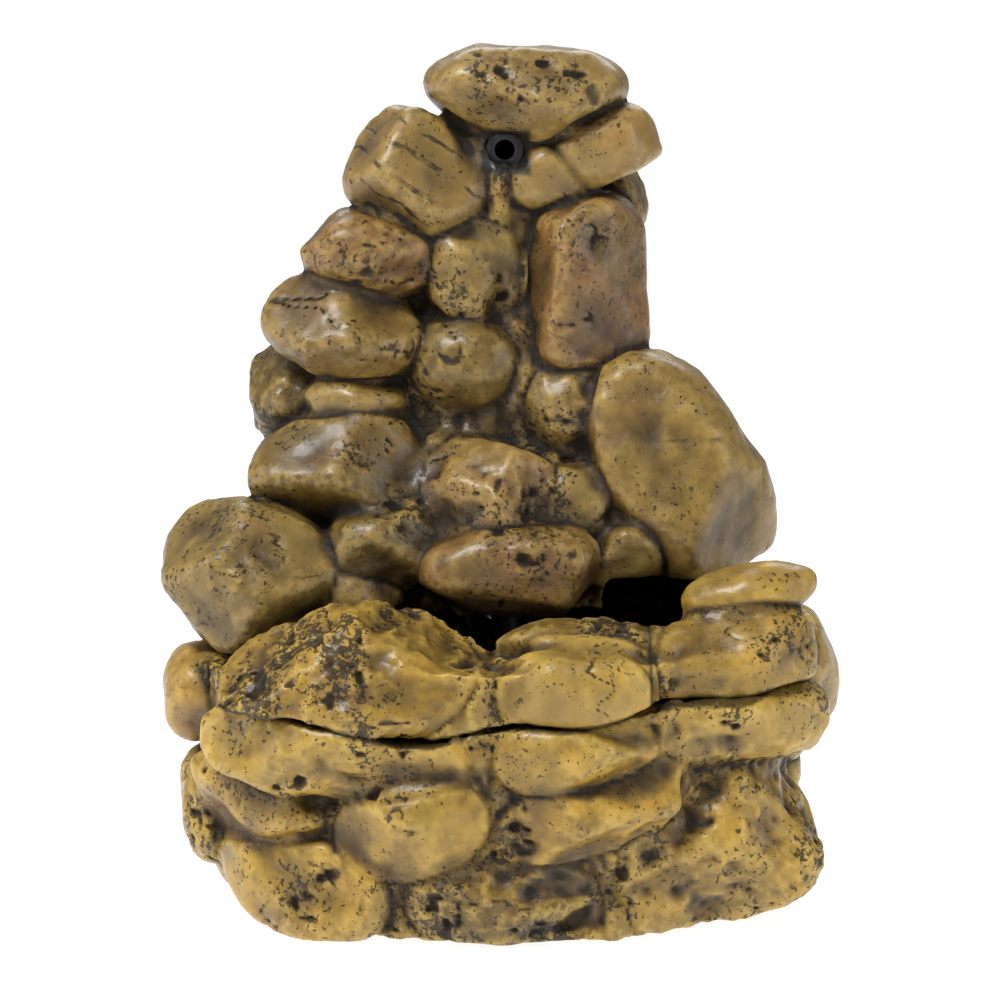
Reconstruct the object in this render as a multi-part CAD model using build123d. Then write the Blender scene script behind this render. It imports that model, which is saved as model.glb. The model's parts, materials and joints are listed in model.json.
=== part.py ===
from build123d import *

"""Tabletop rock-cascade water fountain, in millimetres.

Three cast-resin shells carry the stonework: a basin, a rock cover that closes the front of its rim, and a hollow
cascade tower that stands on the back of the rim. A small submersible pump sits on the basin floor. It lifts water
through a hose inside the tower to a spout under the cap stone, and the water falls back over the stones.

Frame: +Z up, the front faces -Y, +X is on the right seen from the front. The origin is under the middle of the
basin, on the surface that the fountain stands on.
"""

import os
from math import atan2, cos, degrees, radians, sin


# ---------------------------------------------------------------- overall sizes
DRAWN_WIDTH, DRAWN_DEPTH = 215.0, 176.0  # sizes that the stones below are drawn at
DRAWN_BASIN_HEIGHT, DRAWN_TOWER_HEIGHT = 79.0, 190.0
WIDTH = 215.0  # over the widest stones
DEPTH = 176.0
BASIN_HEIGHT = 79.0  # from the table to the flat back part of the basin's rim
TOWER_HEIGHT = 190.0  # from that rim to the top of the cap stone

# ---------------------------------------------------------------- castings
FOOT_PROUD = 1.2  # rubber feet hold the basin this far off the table
FOOT_SINK = 1.2
FOOT_RADIUS = 6.5
FOOT_CLEARANCE = 0.1
FOOT_FROM_EDGE = 33.0
FLOOR_THICKNESS = 8.0
RIM_WIDTH = 10.0  # basin wall at the rim, before its stones
FLOOR_INSET = 11.0  # how far the cavity draws in from the rim to the floor
PLINTH_HEIGHT = 4.0
SEAM_GAP = 0.3  # bedding gap between castings that rest on each other
TOWER_WALL = 9.0
LIP_DEPTH = 6.0  # the tower's locating lip reaches this far into the basin
LIP_THICKNESS = 4.0
LIP_CLEARANCE = 1.5
SHELF_RISE = 11.0  # top of the rock cover's flat back over the rim
SHELF_THICKNESS = 7.0
CABLE_NOTCH_WIDTH = 8.0
CABLE_NOTCH_DEPTH = 8.0

# ---------------------------------------------------------------- water way
SPOUT_X = 1.5
SPOUT_BELOW_TOP = 33.0  # centre of the spout under the top of the cap stone
SPOUT_WIDTH, SPOUT_HEIGHT = 12.5, 10.0
SPOUT_RECESS_Y = 13.0  # the flat back of the recess that the water leaves from
SPOUT_WALL = 10.0
HOSE_RADIUS, HOSE_BORE = 4.5, 3.25
HOSE_RUNNING = 0.05  # radial clearance where the hose slips off the nozzle
HOSE_BEND = 14.0
HOSE_OVERLAP = 12.0
GROMMET_WALL = 1.5
GROMMET_FIT = 0.05

# ---------------------------------------------------------------- pump
PUMP_WIDTH, PUMP_HEIGHT = 42.0, 38.0
MOTOR_LENGTH, INTAKE_LENGTH = 30.0, 22.0
PUMP_SETBACK = 20.0  # plane between the motor and the impeller chamber, behind the middle
PUMP_WALL, PUMP_FLOOR = 1.8, 4.0
PUMP_ROUND = 3.0
PUMP_GAP = 0.3  # clearance between pump parts that move past each other
PUMP_FIT = 0.05  # clearance between pump parts that are pushed or glued together
AXIS_BELOW_TOP = 16.0
CUP_HEIGHT, CUP_RADIUS = 5.0, 6.0
CUP_STEM_RADIUS, CUP_STEM = 1.8, 2.5
CUP_FROM_EDGE = 7.0
CAN_RADIUS, CAN_WALL, CAN_DEPTH = 6.7, 1.0, 15.0
SHAFT_RADIUS, SHAFT_RUNNING = 1.0, 0.05
MAGNET_RADIUS, MAGNET_LENGTH = 5.8, 11.0
BUSH_RADIUS, BUSH_LENGTH = 2.2, 2.4
IMPELLER_LENGTH, IMPELLER_DISC, VANES = 5.0, 1.0, 6
HUB_RADIUS, VANE_THICKNESS = 3.0, 1.0
CHAMBER_RADIUS, CHAMBER_DEPTH, CHAMBER_WALL = 10.5, 8.0, 1.5
IMPELLER_CLEARANCE = 1.5  # between the impeller's rim and the wall of its chamber
CHAMBER_FLANGE_RADIUS, CHAMBER_FLANGE = 13.4, 2.6
EYE_RADIUS, SPIDER_RADIUS, SPIDER_ARM = 6.5, 3.4, 1.6
SEAL_RADIUS, SEAL_WIDTH, SEAL_DEPTH = 11.6, 1.2, 1.2
NOZZLE_BORE, SOCKET_WALL = 2.2, 1.4
DIAL_RADIUS, DIAL_THICKNESS, DIAL_STEM, DIAL_GAP = 7.5, 2.5, 2.0, 0.4
DIAL_HEAD_RADIUS, DIAL_HEAD = 3.2, 1.4
SLOT_WIDTH, SLOT_PITCH, SLOT_COUNT = 2.0, 4.0, 5
FOAM_STANDOFF, FOAM_THICKNESS = 3.6, 6.0
STACK_HEIGHT, LEG_THICKNESS, YOKE_THICKNESS = 12.0, 5.4, 4.4
COIL_THICKNESS = 2.3
POTTING_THICKNESS = 4.0
GLAND_RADIUS, GLAND_BORE, GLAND_LENGTH = 3.6, 2.2, 8.0
GLAND_ASIDE, GLAND_OVER_AXIS = 11.0, 5.0

# ---------------------------------------------------------------- what follows from them
STRETCH_X, STRETCH_Y = WIDTH / DRAWN_WIDTH, DEPTH / DRAWN_DEPTH
BASIN_STRETCH = BASIN_HEIGHT / DRAWN_BASIN_HEIGHT
TOWER_STRETCH = TOWER_HEIGHT / DRAWN_TOWER_HEIGHT
TOP = BASIN_HEIGHT + TOWER_HEIGHT
FLOOR_TOP = FOOT_PROUD + FLOOR_THICKNESS
RIM_X, RIM_Y = 93.0 * STRETCH_X, 80.0 * STRETCH_Y  # outer half-sizes of the basin wall at the rim
CAVITY_X, CAVITY_Y = RIM_X - RIM_WIDTH, RIM_Y - RIM_WIDTH
SPOUT_Z = TOP - SPOUT_BELOW_TOP
SPOUT_Y = SPOUT_RECESS_Y * STRETCH_Y
PUMP_X = SPOUT_X
PUMP_BOTTOM = FLOOR_TOP + CUP_HEIGHT
PUMP_TOP = PUMP_BOTTOM + PUMP_HEIGHT
PUMP_BACK = PUMP_SETBACK + MOTOR_LENGTH
PUMP_FRONT = PUMP_SETBACK - INTAKE_LENGTH
AXIS_Z = PUMP_TOP - AXIS_BELOW_TOP
NOZZLE_RADIUS = HOSE_BORE - HOSE_RUNNING
NOZZLE_TOP = PUMP_TOP + PUMP_GAP + HOSE_OVERLAP
SOCKET_RADIUS = NOZZLE_RADIUS + SOCKET_WALL
NOZZLE_Y = PUMP_SETBACK - SOCKET_RADIUS - 2 * PUMP_GAP
NOZZLE_SEAT = AXIS_Z + CHAMBER_RADIUS + CHAMBER_WALL / 2
SOCKET_TOP = PUMP_TOP - PUMP_WALL
IMPELLER_RADIUS = CHAMBER_RADIUS - IMPELLER_CLEARANCE
LEG_INSIDE = CAN_RADIUS + CAN_WALL + PUMP_GAP
COIL_FRONT = PUMP_SETBACK + CAN_DEPTH + CAN_WALL + PUMP_GAP
YOKE_FRONT = COIL_FRONT + COIL_THICKNESS
GLAND_X, GLAND_Z = PUMP_X + GLAND_ASIDE, AXIS_Z + GLAND_OVER_AXIS
DIAL_X, DIAL_Z = PUMP_X - PUMP_WIDTH / 4, PUMP_BOTTOM + PUMP_HEIGHT / 3
BIG = 600.0

# Stones: centre, three radii, and the turn about X, Y and Z in degrees.
CAP_STONE = ((8, 22, 254.5), (31, 27, 14.5), (0, 2, 0))
TOWER_STONES = {
    "crown_left": ((-27, 20, 228), (23, 21, 21), (0, 20, 0)),
    "crown_right": ((31, 22, 235), (20, 16, 12), (0, -24, 0)),
    "crown_chock": ((18, 20, 226), (12, 13, 11), (0, 0, 0)),
    "stair_1": ((-43.5, 16, 203), (23, 20, 13.5), (0, 10, 0)),
    "stair_2": ((-51, 12, 179.5), (25, 22, 16.5), (0, 12, 0)),
    "stair_3": ((-48, 12, 155), (18, 18, 10), (0, -4, 0)),
    "stair_back": ((-67, 32, 156), (13, 22, 16), (0, 0, 0)),
    "stair_4": ((-53, 1, 134), (28, 24, 18.5), (0, -12, 0)),
    "corner_left": ((-80.6, -16, 102), (27, 27, 24.5), (0, 10, 0)),
    "fall_1": ((-10, 20, 198), (14, 15, 15), (0, 0, 0)),
    "fall_2": ((-11, 14, 167), (17, 16, 15), (0, 0, 0)),
    "fall_3": ((23, 11, 152.5), (16.5, 16, 16), (0, 0, 0)),
    "fall_4": ((-3, -6, 129), (20, 19, 16), (0, 0, 0)),
    "fall_5": ((4, -20, 105), (30, 19, 14), (0, 0, 0)),
    "fall_6": ((40, -10, 109), (12, 16, 13.5), (0, 0, 0)),
    "fall_7": ((26, -2, 128), (11, 14, 11), (0, 0, 0)),
    "fall_8": ((-37, -12, 113), (18, 18, 15), (0, 0, 0)),
    "fall_9": ((-44, -13, 97), (13, 15, 10), (0, 0, 0)),
    "boulder": ((60, 6, 130), (24, 30, 42), (0, -30, 0)),
    "flank_high": ((37, 44, 218), (11, 14, 12), (0, 0, 0)),
    "flank_low": ((37, 44, 181), (11, 16, 15), (0, 0, 0)),
    "rear_1": ((-58, 50, 103), (24, 20, 22), (0, 0, -35)),
    "rear_2": ((-18, 66, 101), (25, 16, 20), (0, 8, 0)),
    "rear_3": ((28, 64, 104), (24, 17, 22), (0, -6, 10)),
    "rear_4": ((62, 46, 106), (20, 22, 24), (0, 0, 40)),
    "rear_5": ((-38, 54, 139), (22, 15, 18), (0, 10, -20)),
    "rear_6": ((6, 60, 141), (24, 14, 19), (0, -5, 0)),
    "rear_7": ((44, 48, 147), (18, 17, 18), (0, 0, 25)),
    "rear_8": ((-18, 55, 176), (20, 14, 17), (0, 8, -8)),
    "rear_9": ((18, 54, 182), (19, 13, 19), (0, -10, 8)),
    "rear_10": ((2, 46, 216), (22, 14, 19), (0, 4, 0)),
}
SLAB = ((25, 24, 191.5), (35, 26, 59), (0, 2, 20))  # the one flat-faced stone: centre, full sizes, turn
SLAB_EDGE = 7.0
COVER_STONES = {
    "rim_left": ((-41, -67, 82), (42, 20, 19), (0, -12, 0)),
    "rim_mid": ((23, -73, 81), (24, 15, 13), (0, -3, 0)),
    "rim_right": ((71, -54, 85), (27, 17, 15), (0, -8, 35)),
    "pebble": ((76, -42, 103), (20, 11.5, 8.5), (0, -10, 0)),
    "shelf": ((26, -58, 91), (32, 12, 9), (0, 0, 0)),
}
BASIN_STONES = {
    "side_left": ((-94, -6, 64), (13, 24, 14.5), (0, 0, 0)),
    "front_bar": ((-46, -70, 60), (42, 17, 13), (0, 5, 0)),
    "front_mid": ((21, -76, 59), (25, 12, 13), (0, 0, 0)),
    "front_right": ((73, -58, 69), (28, 14, 11), (0, 0, 32)),
    "mid_left": ((-72, -50, 41), (25, 18, 14), (0, 5, -30)),
    "egg": ((-25, -72, 38), (25, 16, 16), (0, -15, 0)),
    "bar": ((26, -74, 42), (30, 13, 12), (0, -12, 0)),
    "foot_left": ((-57, -58, 15), (29, 20, 18), (0, 0, -15)),
    "foot_mid": ((0, -68, 15), (30, 14, 15), (0, 0, 0)),
    "foot_right": ((65, -54, 27), (37, 20, 25), (0, -20, 20)),
    "side_low": ((-88, -16, 30), (13, 26, 18), (0, 0, 0)),
}
HIGH_STONE = ((95.5, -12, 67), (12, 27, 24), (0, 0, 0))  # the side stone that stands over the rim
# The rows of stones round the back: height of the row, then for each stone its bearing from +X and its
# half-length, how far it stands out, and half-height.
BACK_ROWS = (
    (63, ((22, 25, 13, 15), (55, 26, 12, 14), (90, 29, 12.6, 15), (124, 26, 12, 13), (156, 24, 13, 15))),
    (38, ((4, 24, 13, 16), (36, 26, 13, 15), (72, 28, 13, 15), (107, 27, 12, 14), (143, 27, 13, 16))),
    (14, ((-10, 23, 13, 15), (20, 26, 13, 15), (54, 27, 13, 14), (90, 28, 13, 15), (126, 26, 13, 15),
          (160, 24, 13, 14), (190, 22, 13, 14))),
)  # fmt: skip

# The parting line between the basin and the rock cover, seen from the front: x and z.
SEAM = ((-110, 73), (-84, 73), (-64, 72), (-47, 69), (-30, 64.5), (-18, 64.5), (-6, 68), (8, 70), (20, 69),
        (32, 70.5), (46, 74), (60, 74.5), (74, 74), (86, 77), (110, 78))  # fmt: skip
COVER_BACK_LEFT, COVER_BACK_RIGHT = -47.0 * STRETCH_Y, -31.0 * STRETCH_Y  # y of the cover's back edge
COVER_CLEARANCE = 1.0
COVER_STEP_X = 46.0 * STRETCH_X  # where its back edge steps back beside the boulder
COVER_LEFT_X, COVER_RIGHT_X = -86.0 * STRETCH_X, 98.0 * STRETCH_X

# Tower cores: height over the rim at the drawn size, centre x and y, half-sizes x and y.
TOWER_OUTLINE = ((0, 0, 37, 88, 41), (26, -4, 33, 80, 42), (71, -4, 36, 55, 30), (121, 0, 36, 37, 24),
                 (168, 4, 30, 24, 20))  # fmt: skip
TOWER_EDGE_MID, TOWER_EDGE_RIGHT = 8.0, 23.0  # lower edge of the cascade over the rim, left and right of a step
TOWER_EDGE_STEP_X = 34.0 * STRETCH_X
TOWER_EDGE_LEFT_X = -57.0 * STRETCH_X
TOWER_EDGE_BACK_Y = 16.0 * STRETCH_Y


# ---------------------------------------------------------------- helpers
def stretched(point, z_from, z_drawn_from, z_stretch):
    """A drawn point, moved to where it lies at the present width, depth and height."""
    x, y, z = point
    return x * STRETCH_X, y * STRETCH_Y, z_from + (z - z_drawn_from) * z_stretch


def stone(centre, radii, turn, heart=None):
    """A rounded stone: a ball stretched to three radii, turned about its own centre.

    The ball's poles lie above and below, or, with a heart, towards and away from that point in plan.
    """
    ball = Sphere(1)
    if heart:
        ball = Rot(0, 0, degrees(atan2(centre[1] - heart[1], centre[0] - heart[0]))) * Rot(0, 90, 0) * ball
    return Location(centre, turn) * scale(ball, by=radii)


def basin_place(point):
    return stretched(point, 0, 0, BASIN_STRETCH)


def tower_place(point):
    return stretched(point, BASIN_HEIGHT, DRAWN_BASIN_HEIGHT, TOWER_STRETCH)


def oval(x, y, z, half_x, half_y):
    return Pos(x, y, z) * Ellipse(half_x, half_y)


def block(x0, x1, y0, y1, z0, z1):
    """A box from its limits."""
    return Pos((x0 + x1) / 2, (y0 + y1) / 2, (z0 + z1) / 2) * Box(x1 - x0, y1 - y0, z1 - z0)


def rod(radius, x, z, y0, y1):
    """A cylinder along Y."""
    return Pos(x, (y0 + y1) / 2, z) * Rot(90, 0, 0) * Cylinder(radius, y1 - y0)


def post(radius, x, y, z0, z1):
    """A cylinder along Z."""
    return Pos(x, y, (z0 + z1) / 2) * Cylinder(radius, z1 - z0)


def seam_height(x):
    """Height of the parting line at x, straight between its drawn points."""
    for (x0, z0), (x1, z1) in zip(SEAM, SEAM[1:]):
        if x0 * STRETCH_X <= x <= x1 * STRETCH_X:
            share = (x / STRETCH_X - x0) / (x1 - x0)
            return (z0 + (z1 - z0) * share) * BASIN_STRETCH
    return BASIN_HEIGHT


def over_seam(rise, x0, x1, y1):
    """Everything in front of y1 and over the parting line raised by rise, between x0 and x1."""
    line = Spline([(x * STRETCH_X, z * BASIN_STRETCH + rise) for x, z in SEAM])
    (start, end), top = (line @ 0, line @ 1), BASIN_HEIGHT + TOWER_HEIGHT
    sides = Polyline((end.X, end.Y), (end.X, top), (start.X, top), (start.X, start.Y))
    face = Plane.XZ * make_face([line, sides])
    return extrude(face, BIG / 2, dir=(0, -1, 0)) & block(x0, x1, -BIG, y1, -BIG, BIG)


# ---------------------------------------------------------------- castings
def basin():
    stones = [stone(basin_place(c), r, t, (0, 0)) for c, r, t in BASIN_STONES.values()]
    stones += back_stones()
    plinth = extrude(oval(0, 0, FOOT_PROUD, RIM_X - 4, RIM_Y + 1), PLINTH_HEIGHT)
    wall = loft([oval(0, 0, FOOT_PROUD, RIM_X - 9, RIM_Y - 8), oval(0, 0, BASIN_HEIGHT, RIM_X, RIM_Y)])
    body = wall.fuse(plinth, *stones)
    body -= block(-BIG, BIG, COVER_BACK_LEFT, BIG, BASIN_HEIGHT, BIG)
    body += stone(basin_place(HIGH_STONE[0]), *HIGH_STONE[1:], (0, 0))
    body -= cavity()
    body -= block(-BIG, BIG, -BIG, BIG, -BIG, FOOT_PROUD)
    body -= over_seam(0, COVER_LEFT_X - 1, COVER_STEP_X, COVER_BACK_LEFT + COVER_CLEARANCE)
    body -= over_seam(0, COVER_STEP_X - 1, COVER_RIGHT_X + 1, COVER_BACK_RIGHT + COVER_CLEARANCE)
    body -= cable_notch()
    for x, y in foot_places():
        body -= post(FOOT_RADIUS + FOOT_CLEARANCE, x, y, 0, FOOT_PROUD + FOOT_SINK)
    return body


def back_stones():
    """Rows of stones round the sides and the back of the basin."""
    stones = []
    for height, row in BACK_ROWS:
        share = height / DRAWN_BASIN_HEIGHT
        reach_x, reach_y = RIM_X - 12 + 9 * share, RIM_Y - 11 + 8 * share
        for bearing, half_length, stand_out, half_height in row:
            across, along = cos(radians(bearing)), sin(radians(bearing))
            centre = (reach_x * across, reach_y * along, height * BASIN_STRETCH)
            stones.append(stone(centre, (stand_out, half_length, half_height), (0, 0, bearing), (0, 0)))
    return stones


def cavity():
    """The water space of the basin, open on top."""
    low = oval(0, 0, FLOOR_TOP, CAVITY_X - FLOOR_INSET, CAVITY_Y - FLOOR_INSET)
    slope = FLOOR_INSET / (BASIN_HEIGHT - FLOOR_TOP)
    over = 30.0
    high = oval(0, 0, BASIN_HEIGHT + over, CAVITY_X + over * slope, CAVITY_Y + over * slope)
    return loft([low, high])


def cable_notch():
    """The way out for the pump's power cord, through the back of the rim."""
    half, low = CABLE_NOTCH_WIDTH / 2, BASIN_HEIGHT - CABLE_NOTCH_DEPTH
    rise = CABLE_NOTCH_DEPTH - half + 1
    face = Pos(0, low + half) * Circle(half) + Pos(0, low + half + rise / 2) * Rectangle(2 * half, rise)
    return extrude(Plane.XZ * face, BIG / 2, dir=(0, 1, 0))


def foot_places():
    reach_x, reach_y = RIM_X - FOOT_FROM_EDGE, RIM_Y - FOOT_FROM_EDGE
    return [(i * reach_x, j * reach_y) for i in (-1, 1) for j in (-1, 1)]


def rubber_feet():
    return Compound([post(FOOT_RADIUS, x, y, 0, FOOT_PROUD + FOOT_SINK) for x, y in foot_places()])


def tower_core(shrink, z_low):
    """The tower's plain body under its stones, drawn in by shrink and cut off below z_low."""
    ovals = [
        oval(x * STRETCH_X, y * STRETCH_Y, BASIN_HEIGHT + z * TOWER_STRETCH,
             half_x * STRETCH_X - shrink, half_y * STRETCH_Y - shrink)
        for z, x, y, half_x, half_y in TOWER_OUTLINE
    ]  # fmt: skip
    return loft(ovals) & block(-BIG, BIG, -BIG, BIG, z_low, BIG)


def cascade_tower():
    foot = BASIN_HEIGHT + SEAM_GAP
    heart = (0, 36.0 * STRETCH_Y)
    stones = [stone(tower_place(c), r, t, heart) for c, r, t in TOWER_STONES.values()]
    cap = stone(tower_place(CAP_STONE[0]), *CAP_STONE[1:])
    body = tower_core(0, foot).fuse(cap, slab(), *stones)
    body -= block(-BIG, BIG, -BIG, BIG, -BIG, foot)
    edge_mid, edge_right = BASIN_HEIGHT + TOWER_EDGE_MID, BASIN_HEIGHT + TOWER_EDGE_RIGHT
    body -= block(TOWER_EDGE_LEFT_X, TOWER_EDGE_STEP_X, -BIG, TOWER_EDGE_BACK_Y, 0, edge_mid)
    body -= block(TOWER_EDGE_STEP_X - 1, BIG, -BIG, TOWER_EDGE_BACK_Y, 0, edge_right)
    body -= tower_core(TOWER_WALL, 0)
    body += locating_lip()
    body -= cable_notch()
    body -= block(SPOUT_X - SPOUT_WIDTH / 2, SPOUT_X + SPOUT_WIDTH / 2, -BIG, SPOUT_Y,
                  SPOUT_Z - SPOUT_HEIGHT / 2, SPOUT_Z + SPOUT_HEIGHT / 2)  # fmt: skip
    body -= rod(HOSE_RADIUS + GROMMET_WALL + GROMMET_FIT, SPOUT_X, SPOUT_Z, SPOUT_Y - 1, hose_rise_y())
    return body


def slab():
    """The one flat-faced stone, standing on end beside the cascade."""
    centre, sizes, turn = SLAB
    piece = Box(*sizes)
    return Location(tower_place(centre), turn) * fillet(piece.edges(), SLAB_EDGE)


def locating_lip():
    """A half ring inside the tower's foot, with a lip that drops inside the back of the basin's rim."""
    low, foot, high = BASIN_HEIGHT - LIP_DEPTH, BASIN_HEIGHT + SEAM_GAP, BASIN_HEIGHT + SEAM_GAP + LIP_THICKNESS
    drawn_in = FLOOR_INSET * LIP_DEPTH / (BASIN_HEIGHT - FLOOR_TOP) + LIP_CLEARANCE
    lip = extrude(oval(0, 0, low, CAVITY_X - drawn_in, CAVITY_Y - drawn_in), high - low)
    flange = tower_core(TOWER_WALL / 2, foot) & block(-BIG, BIG, -BIG, BIG, foot, high)
    narrow = drawn_in + LIP_THICKNESS
    body = (lip + flange) - extrude(oval(0, 0, low - 1, CAVITY_X - narrow, CAVITY_Y - narrow), high - low + 2)
    return body & block(-BIG, BIG, TOWER_EDGE_BACK_Y + 10, BIG, low, high)


def rock_cover():
    shelf_top = BASIN_HEIGHT + SHELF_RISE
    low = BASIN_HEIGHT / 2
    body = extrude(oval(0, 0, low, RIM_X, RIM_Y), shelf_top - low)
    body = body.fuse(*[stone(basin_place(c), r, t) for c, r, t in COVER_STONES.values()])
    left = over_seam(SEAM_GAP, COVER_LEFT_X, COVER_STEP_X, COVER_BACK_LEFT)
    right = over_seam(SEAM_GAP, COVER_STEP_X - 1, COVER_RIGHT_X, COVER_BACK_RIGHT)
    body &= left + right
    body -= extrude(oval(0, 0, 0, CAVITY_X, CAVITY_Y), shelf_top - SHELF_THICKNESS)
    return body


# ---------------------------------------------------------------- water way
def hose_rise_y():
    """Where the hose rises inside the tower's upper half."""
    return 36.0 * STRETCH_Y


def hose_line(start=0.0):
    """Centre line of the hose, from over the pump up the tower and forward to the spout."""
    low = PUMP_TOP + PUMP_GAP + start
    points = [
        (PUMP_X, NOZZLE_Y, low),
        (PUMP_X, NOZZLE_Y, BASIN_HEIGHT + 10),
        (PUMP_X, hose_rise_y(), BASIN_HEIGHT + 70 * TOWER_STRETCH),
        (PUMP_X, hose_rise_y(), SPOUT_Z),
        (SPOUT_X, SPOUT_Y + 1, SPOUT_Z),
    ]
    return FilletPolyline(*points, radius=HOSE_BEND)


def water_hose():
    line = hose_line()
    section = Plane((line @ 0), z_dir=(line % 0)) * (Circle(HOSE_RADIUS) - Circle(HOSE_BORE))
    return sweep(section, path=line)


def spout_grommet():
    ring = rod(HOSE_RADIUS + GROMMET_WALL, SPOUT_X, SPOUT_Z, SPOUT_Y, SPOUT_Y + SPOUT_WALL)
    return ring - rod(HOSE_RADIUS + GROMMET_FIT, SPOUT_X, SPOUT_Z, SPOUT_Y - 1, SPOUT_Y + SPOUT_WALL + 1)


# ---------------------------------------------------------------- pump
def pump_box(y0, y1, inset=0.0):
    """The pump's rounded block between two planes, drawn in by inset all round."""
    width, height = PUMP_WIDTH - 2 * inset, PUMP_HEIGHT - 2 * inset
    face = Pos(PUMP_X, (PUMP_BOTTOM + PUMP_TOP) / 2) * RectangleRounded(width, height, PUMP_ROUND - inset / 2)
    return extrude(Plane.XZ.offset(-y0) * face, y1 - y0, dir=(0, 1, 0))


def rotor_rod(radius, y0, y1):
    """A cylinder on the rotor's axis, its planes counted back from the motor's front."""
    return rod(radius, PUMP_X, AXIS_Z, PUMP_SETBACK + y0, PUMP_SETBACK + y1)


def pump_housing():
    face = PUMP_SETBACK
    body = pump_box(face, PUMP_BACK) - pump_box(face + PUMP_WALL, PUMP_BACK + 1, PUMP_WALL)
    floor = pump_box(face, PUMP_BACK) & block(-BIG, BIG, -BIG, BIG, 0, PUMP_BOTTOM + PUMP_FLOOR)
    body += floor
    body += rotor_rod(CAN_RADIUS + CAN_WALL, 0, CAN_DEPTH + CAN_WALL)
    body -= rotor_rod(CAN_RADIUS, -1, CAN_DEPTH)
    boss = rotor_rod(BUSH_RADIUS + CAN_WALL, CAN_DEPTH - BUSH_LENGTH, CAN_DEPTH + CAN_WALL / 2)
    body += boss - rotor_rod(BUSH_RADIUS + PUMP_FIT, 0, CAN_DEPTH)
    for x, y in cup_places():
        body -= post(CUP_STEM_RADIUS + PUMP_FIT, x, y, 0, PUMP_BOTTOM + CUP_STEM)
    return body


def stator_core():
    """A U of laminated iron: two legs beside the rotor's can and a yoke behind it."""
    front, back = PUMP_SETBACK + PUMP_WALL + PUMP_GAP, YOKE_FRONT + YOKE_THICKNESS
    low, high = AXIS_Z - STACK_HEIGHT / 2, AXIS_Z + STACK_HEIGHT / 2
    reach = LEG_INSIDE + LEG_THICKNESS
    body = block(PUMP_X - reach, PUMP_X + reach, front, back, low, high)
    return body - block(PUMP_X - LEG_INSIDE, PUMP_X + LEG_INSIDE, front - 1, YOKE_FRONT, low - 1, high + 1)


def stator_coil():
    """Copper wound round the yoke, between the legs."""
    side, half = LEG_INSIDE - PUMP_FIT, STACK_HEIGHT / 2
    around = COIL_THICKNESS
    outer = block(PUMP_X - side, PUMP_X + side, YOKE_FRONT - around, YOKE_FRONT + YOKE_THICKNESS + around,
                  AXIS_Z - half - around, AXIS_Z + half + around)  # fmt: skip
    outer = fillet(outer.edges().filter_by(Axis.X), around * 0.8)
    gap = PUMP_FIT
    return outer - block(PUMP_X - side - 1, PUMP_X + side + 1, YOKE_FRONT - gap,
                         YOKE_FRONT + YOKE_THICKNESS + gap, AXIS_Z - half - gap, AXIS_Z + half + gap)  # fmt: skip


def pump_potting():
    body = pump_box(PUMP_BACK - POTTING_THICKNESS, PUMP_BACK, PUMP_WALL + PUMP_FIT)
    body &= block(-BIG, BIG, -BIG, BIG, PUMP_BOTTOM + PUMP_FLOOR + PUMP_FIT, BIG)
    return body - rod(GLAND_RADIUS + PUMP_FIT, GLAND_X, GLAND_Z, PUMP_BACK - 20, PUMP_BACK + 1)


def cable_gland():
    """The sleeve that the pump's power cord enters by."""
    front = PUMP_BACK - POTTING_THICKNESS
    collar = rod(GLAND_RADIUS + 1.2, GLAND_X, GLAND_Z, PUMP_BACK + PUMP_FIT, PUMP_BACK + 1.5)
    body = rod(GLAND_RADIUS, GLAND_X, GLAND_Z, front, front + GLAND_LENGTH) + collar
    return body - rod(GLAND_BORE, GLAND_X, GLAND_Z, front - 1, front + GLAND_LENGTH + 1)


def rotor_magnet():
    start = MAGNET_START
    return rotor_rod(MAGNET_RADIUS, start, start + MAGNET_LENGTH) - rotor_bore()


def rotor_bore():
    return rotor_rod(SHAFT_RADIUS + SHAFT_RUNNING, -40, 40)


MAGNET_START = 1.4


def impeller():
    """Straight vanes on a disc, with a hub that reaches back to the magnet."""
    back = -PUMP_GAP * 2
    front = back - IMPELLER_LENGTH
    body = rotor_rod(IMPELLER_RADIUS, back - IMPELLER_DISC, back) + rotor_rod(HUB_RADIUS, front, MAGNET_START)
    reach = IMPELLER_RADIUS - 0.4
    vane = Pos(HUB_RADIUS / 2 + reach / 2, (front + back - IMPELLER_DISC / 2) / 2, 0) * Box(
        reach - HUB_RADIUS / 2, back - IMPELLER_DISC / 2 - front, VANE_THICKNESS)  # fmt: skip
    for i in range(VANES):
        body += Pos(PUMP_X, PUMP_SETBACK, AXIS_Z) * Rot(0, i * 360 / VANES, 0) * vane
    return body - rotor_bore()


def rotor_shaft():
    return rotor_rod(SHAFT_RADIUS, -CHAMBER_DEPTH - CHAMBER_WALL, CAN_DEPTH - PUMP_FIT)


def bush(y0):
    return rotor_rod(BUSH_RADIUS, y0, y0 + BUSH_LENGTH) - rotor_rod(SHAFT_RADIUS + PUMP_FIT, -40, 40)


def shaft_bush_rear():
    return bush(CAN_DEPTH - BUSH_LENGTH)


def shaft_bush_front():
    return bush(-CHAMBER_DEPTH - CHAMBER_WALL) & rotor_rod(BIG, -CHAMBER_DEPTH - CHAMBER_WALL, -CHAMBER_DEPTH + 0.6)


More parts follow.
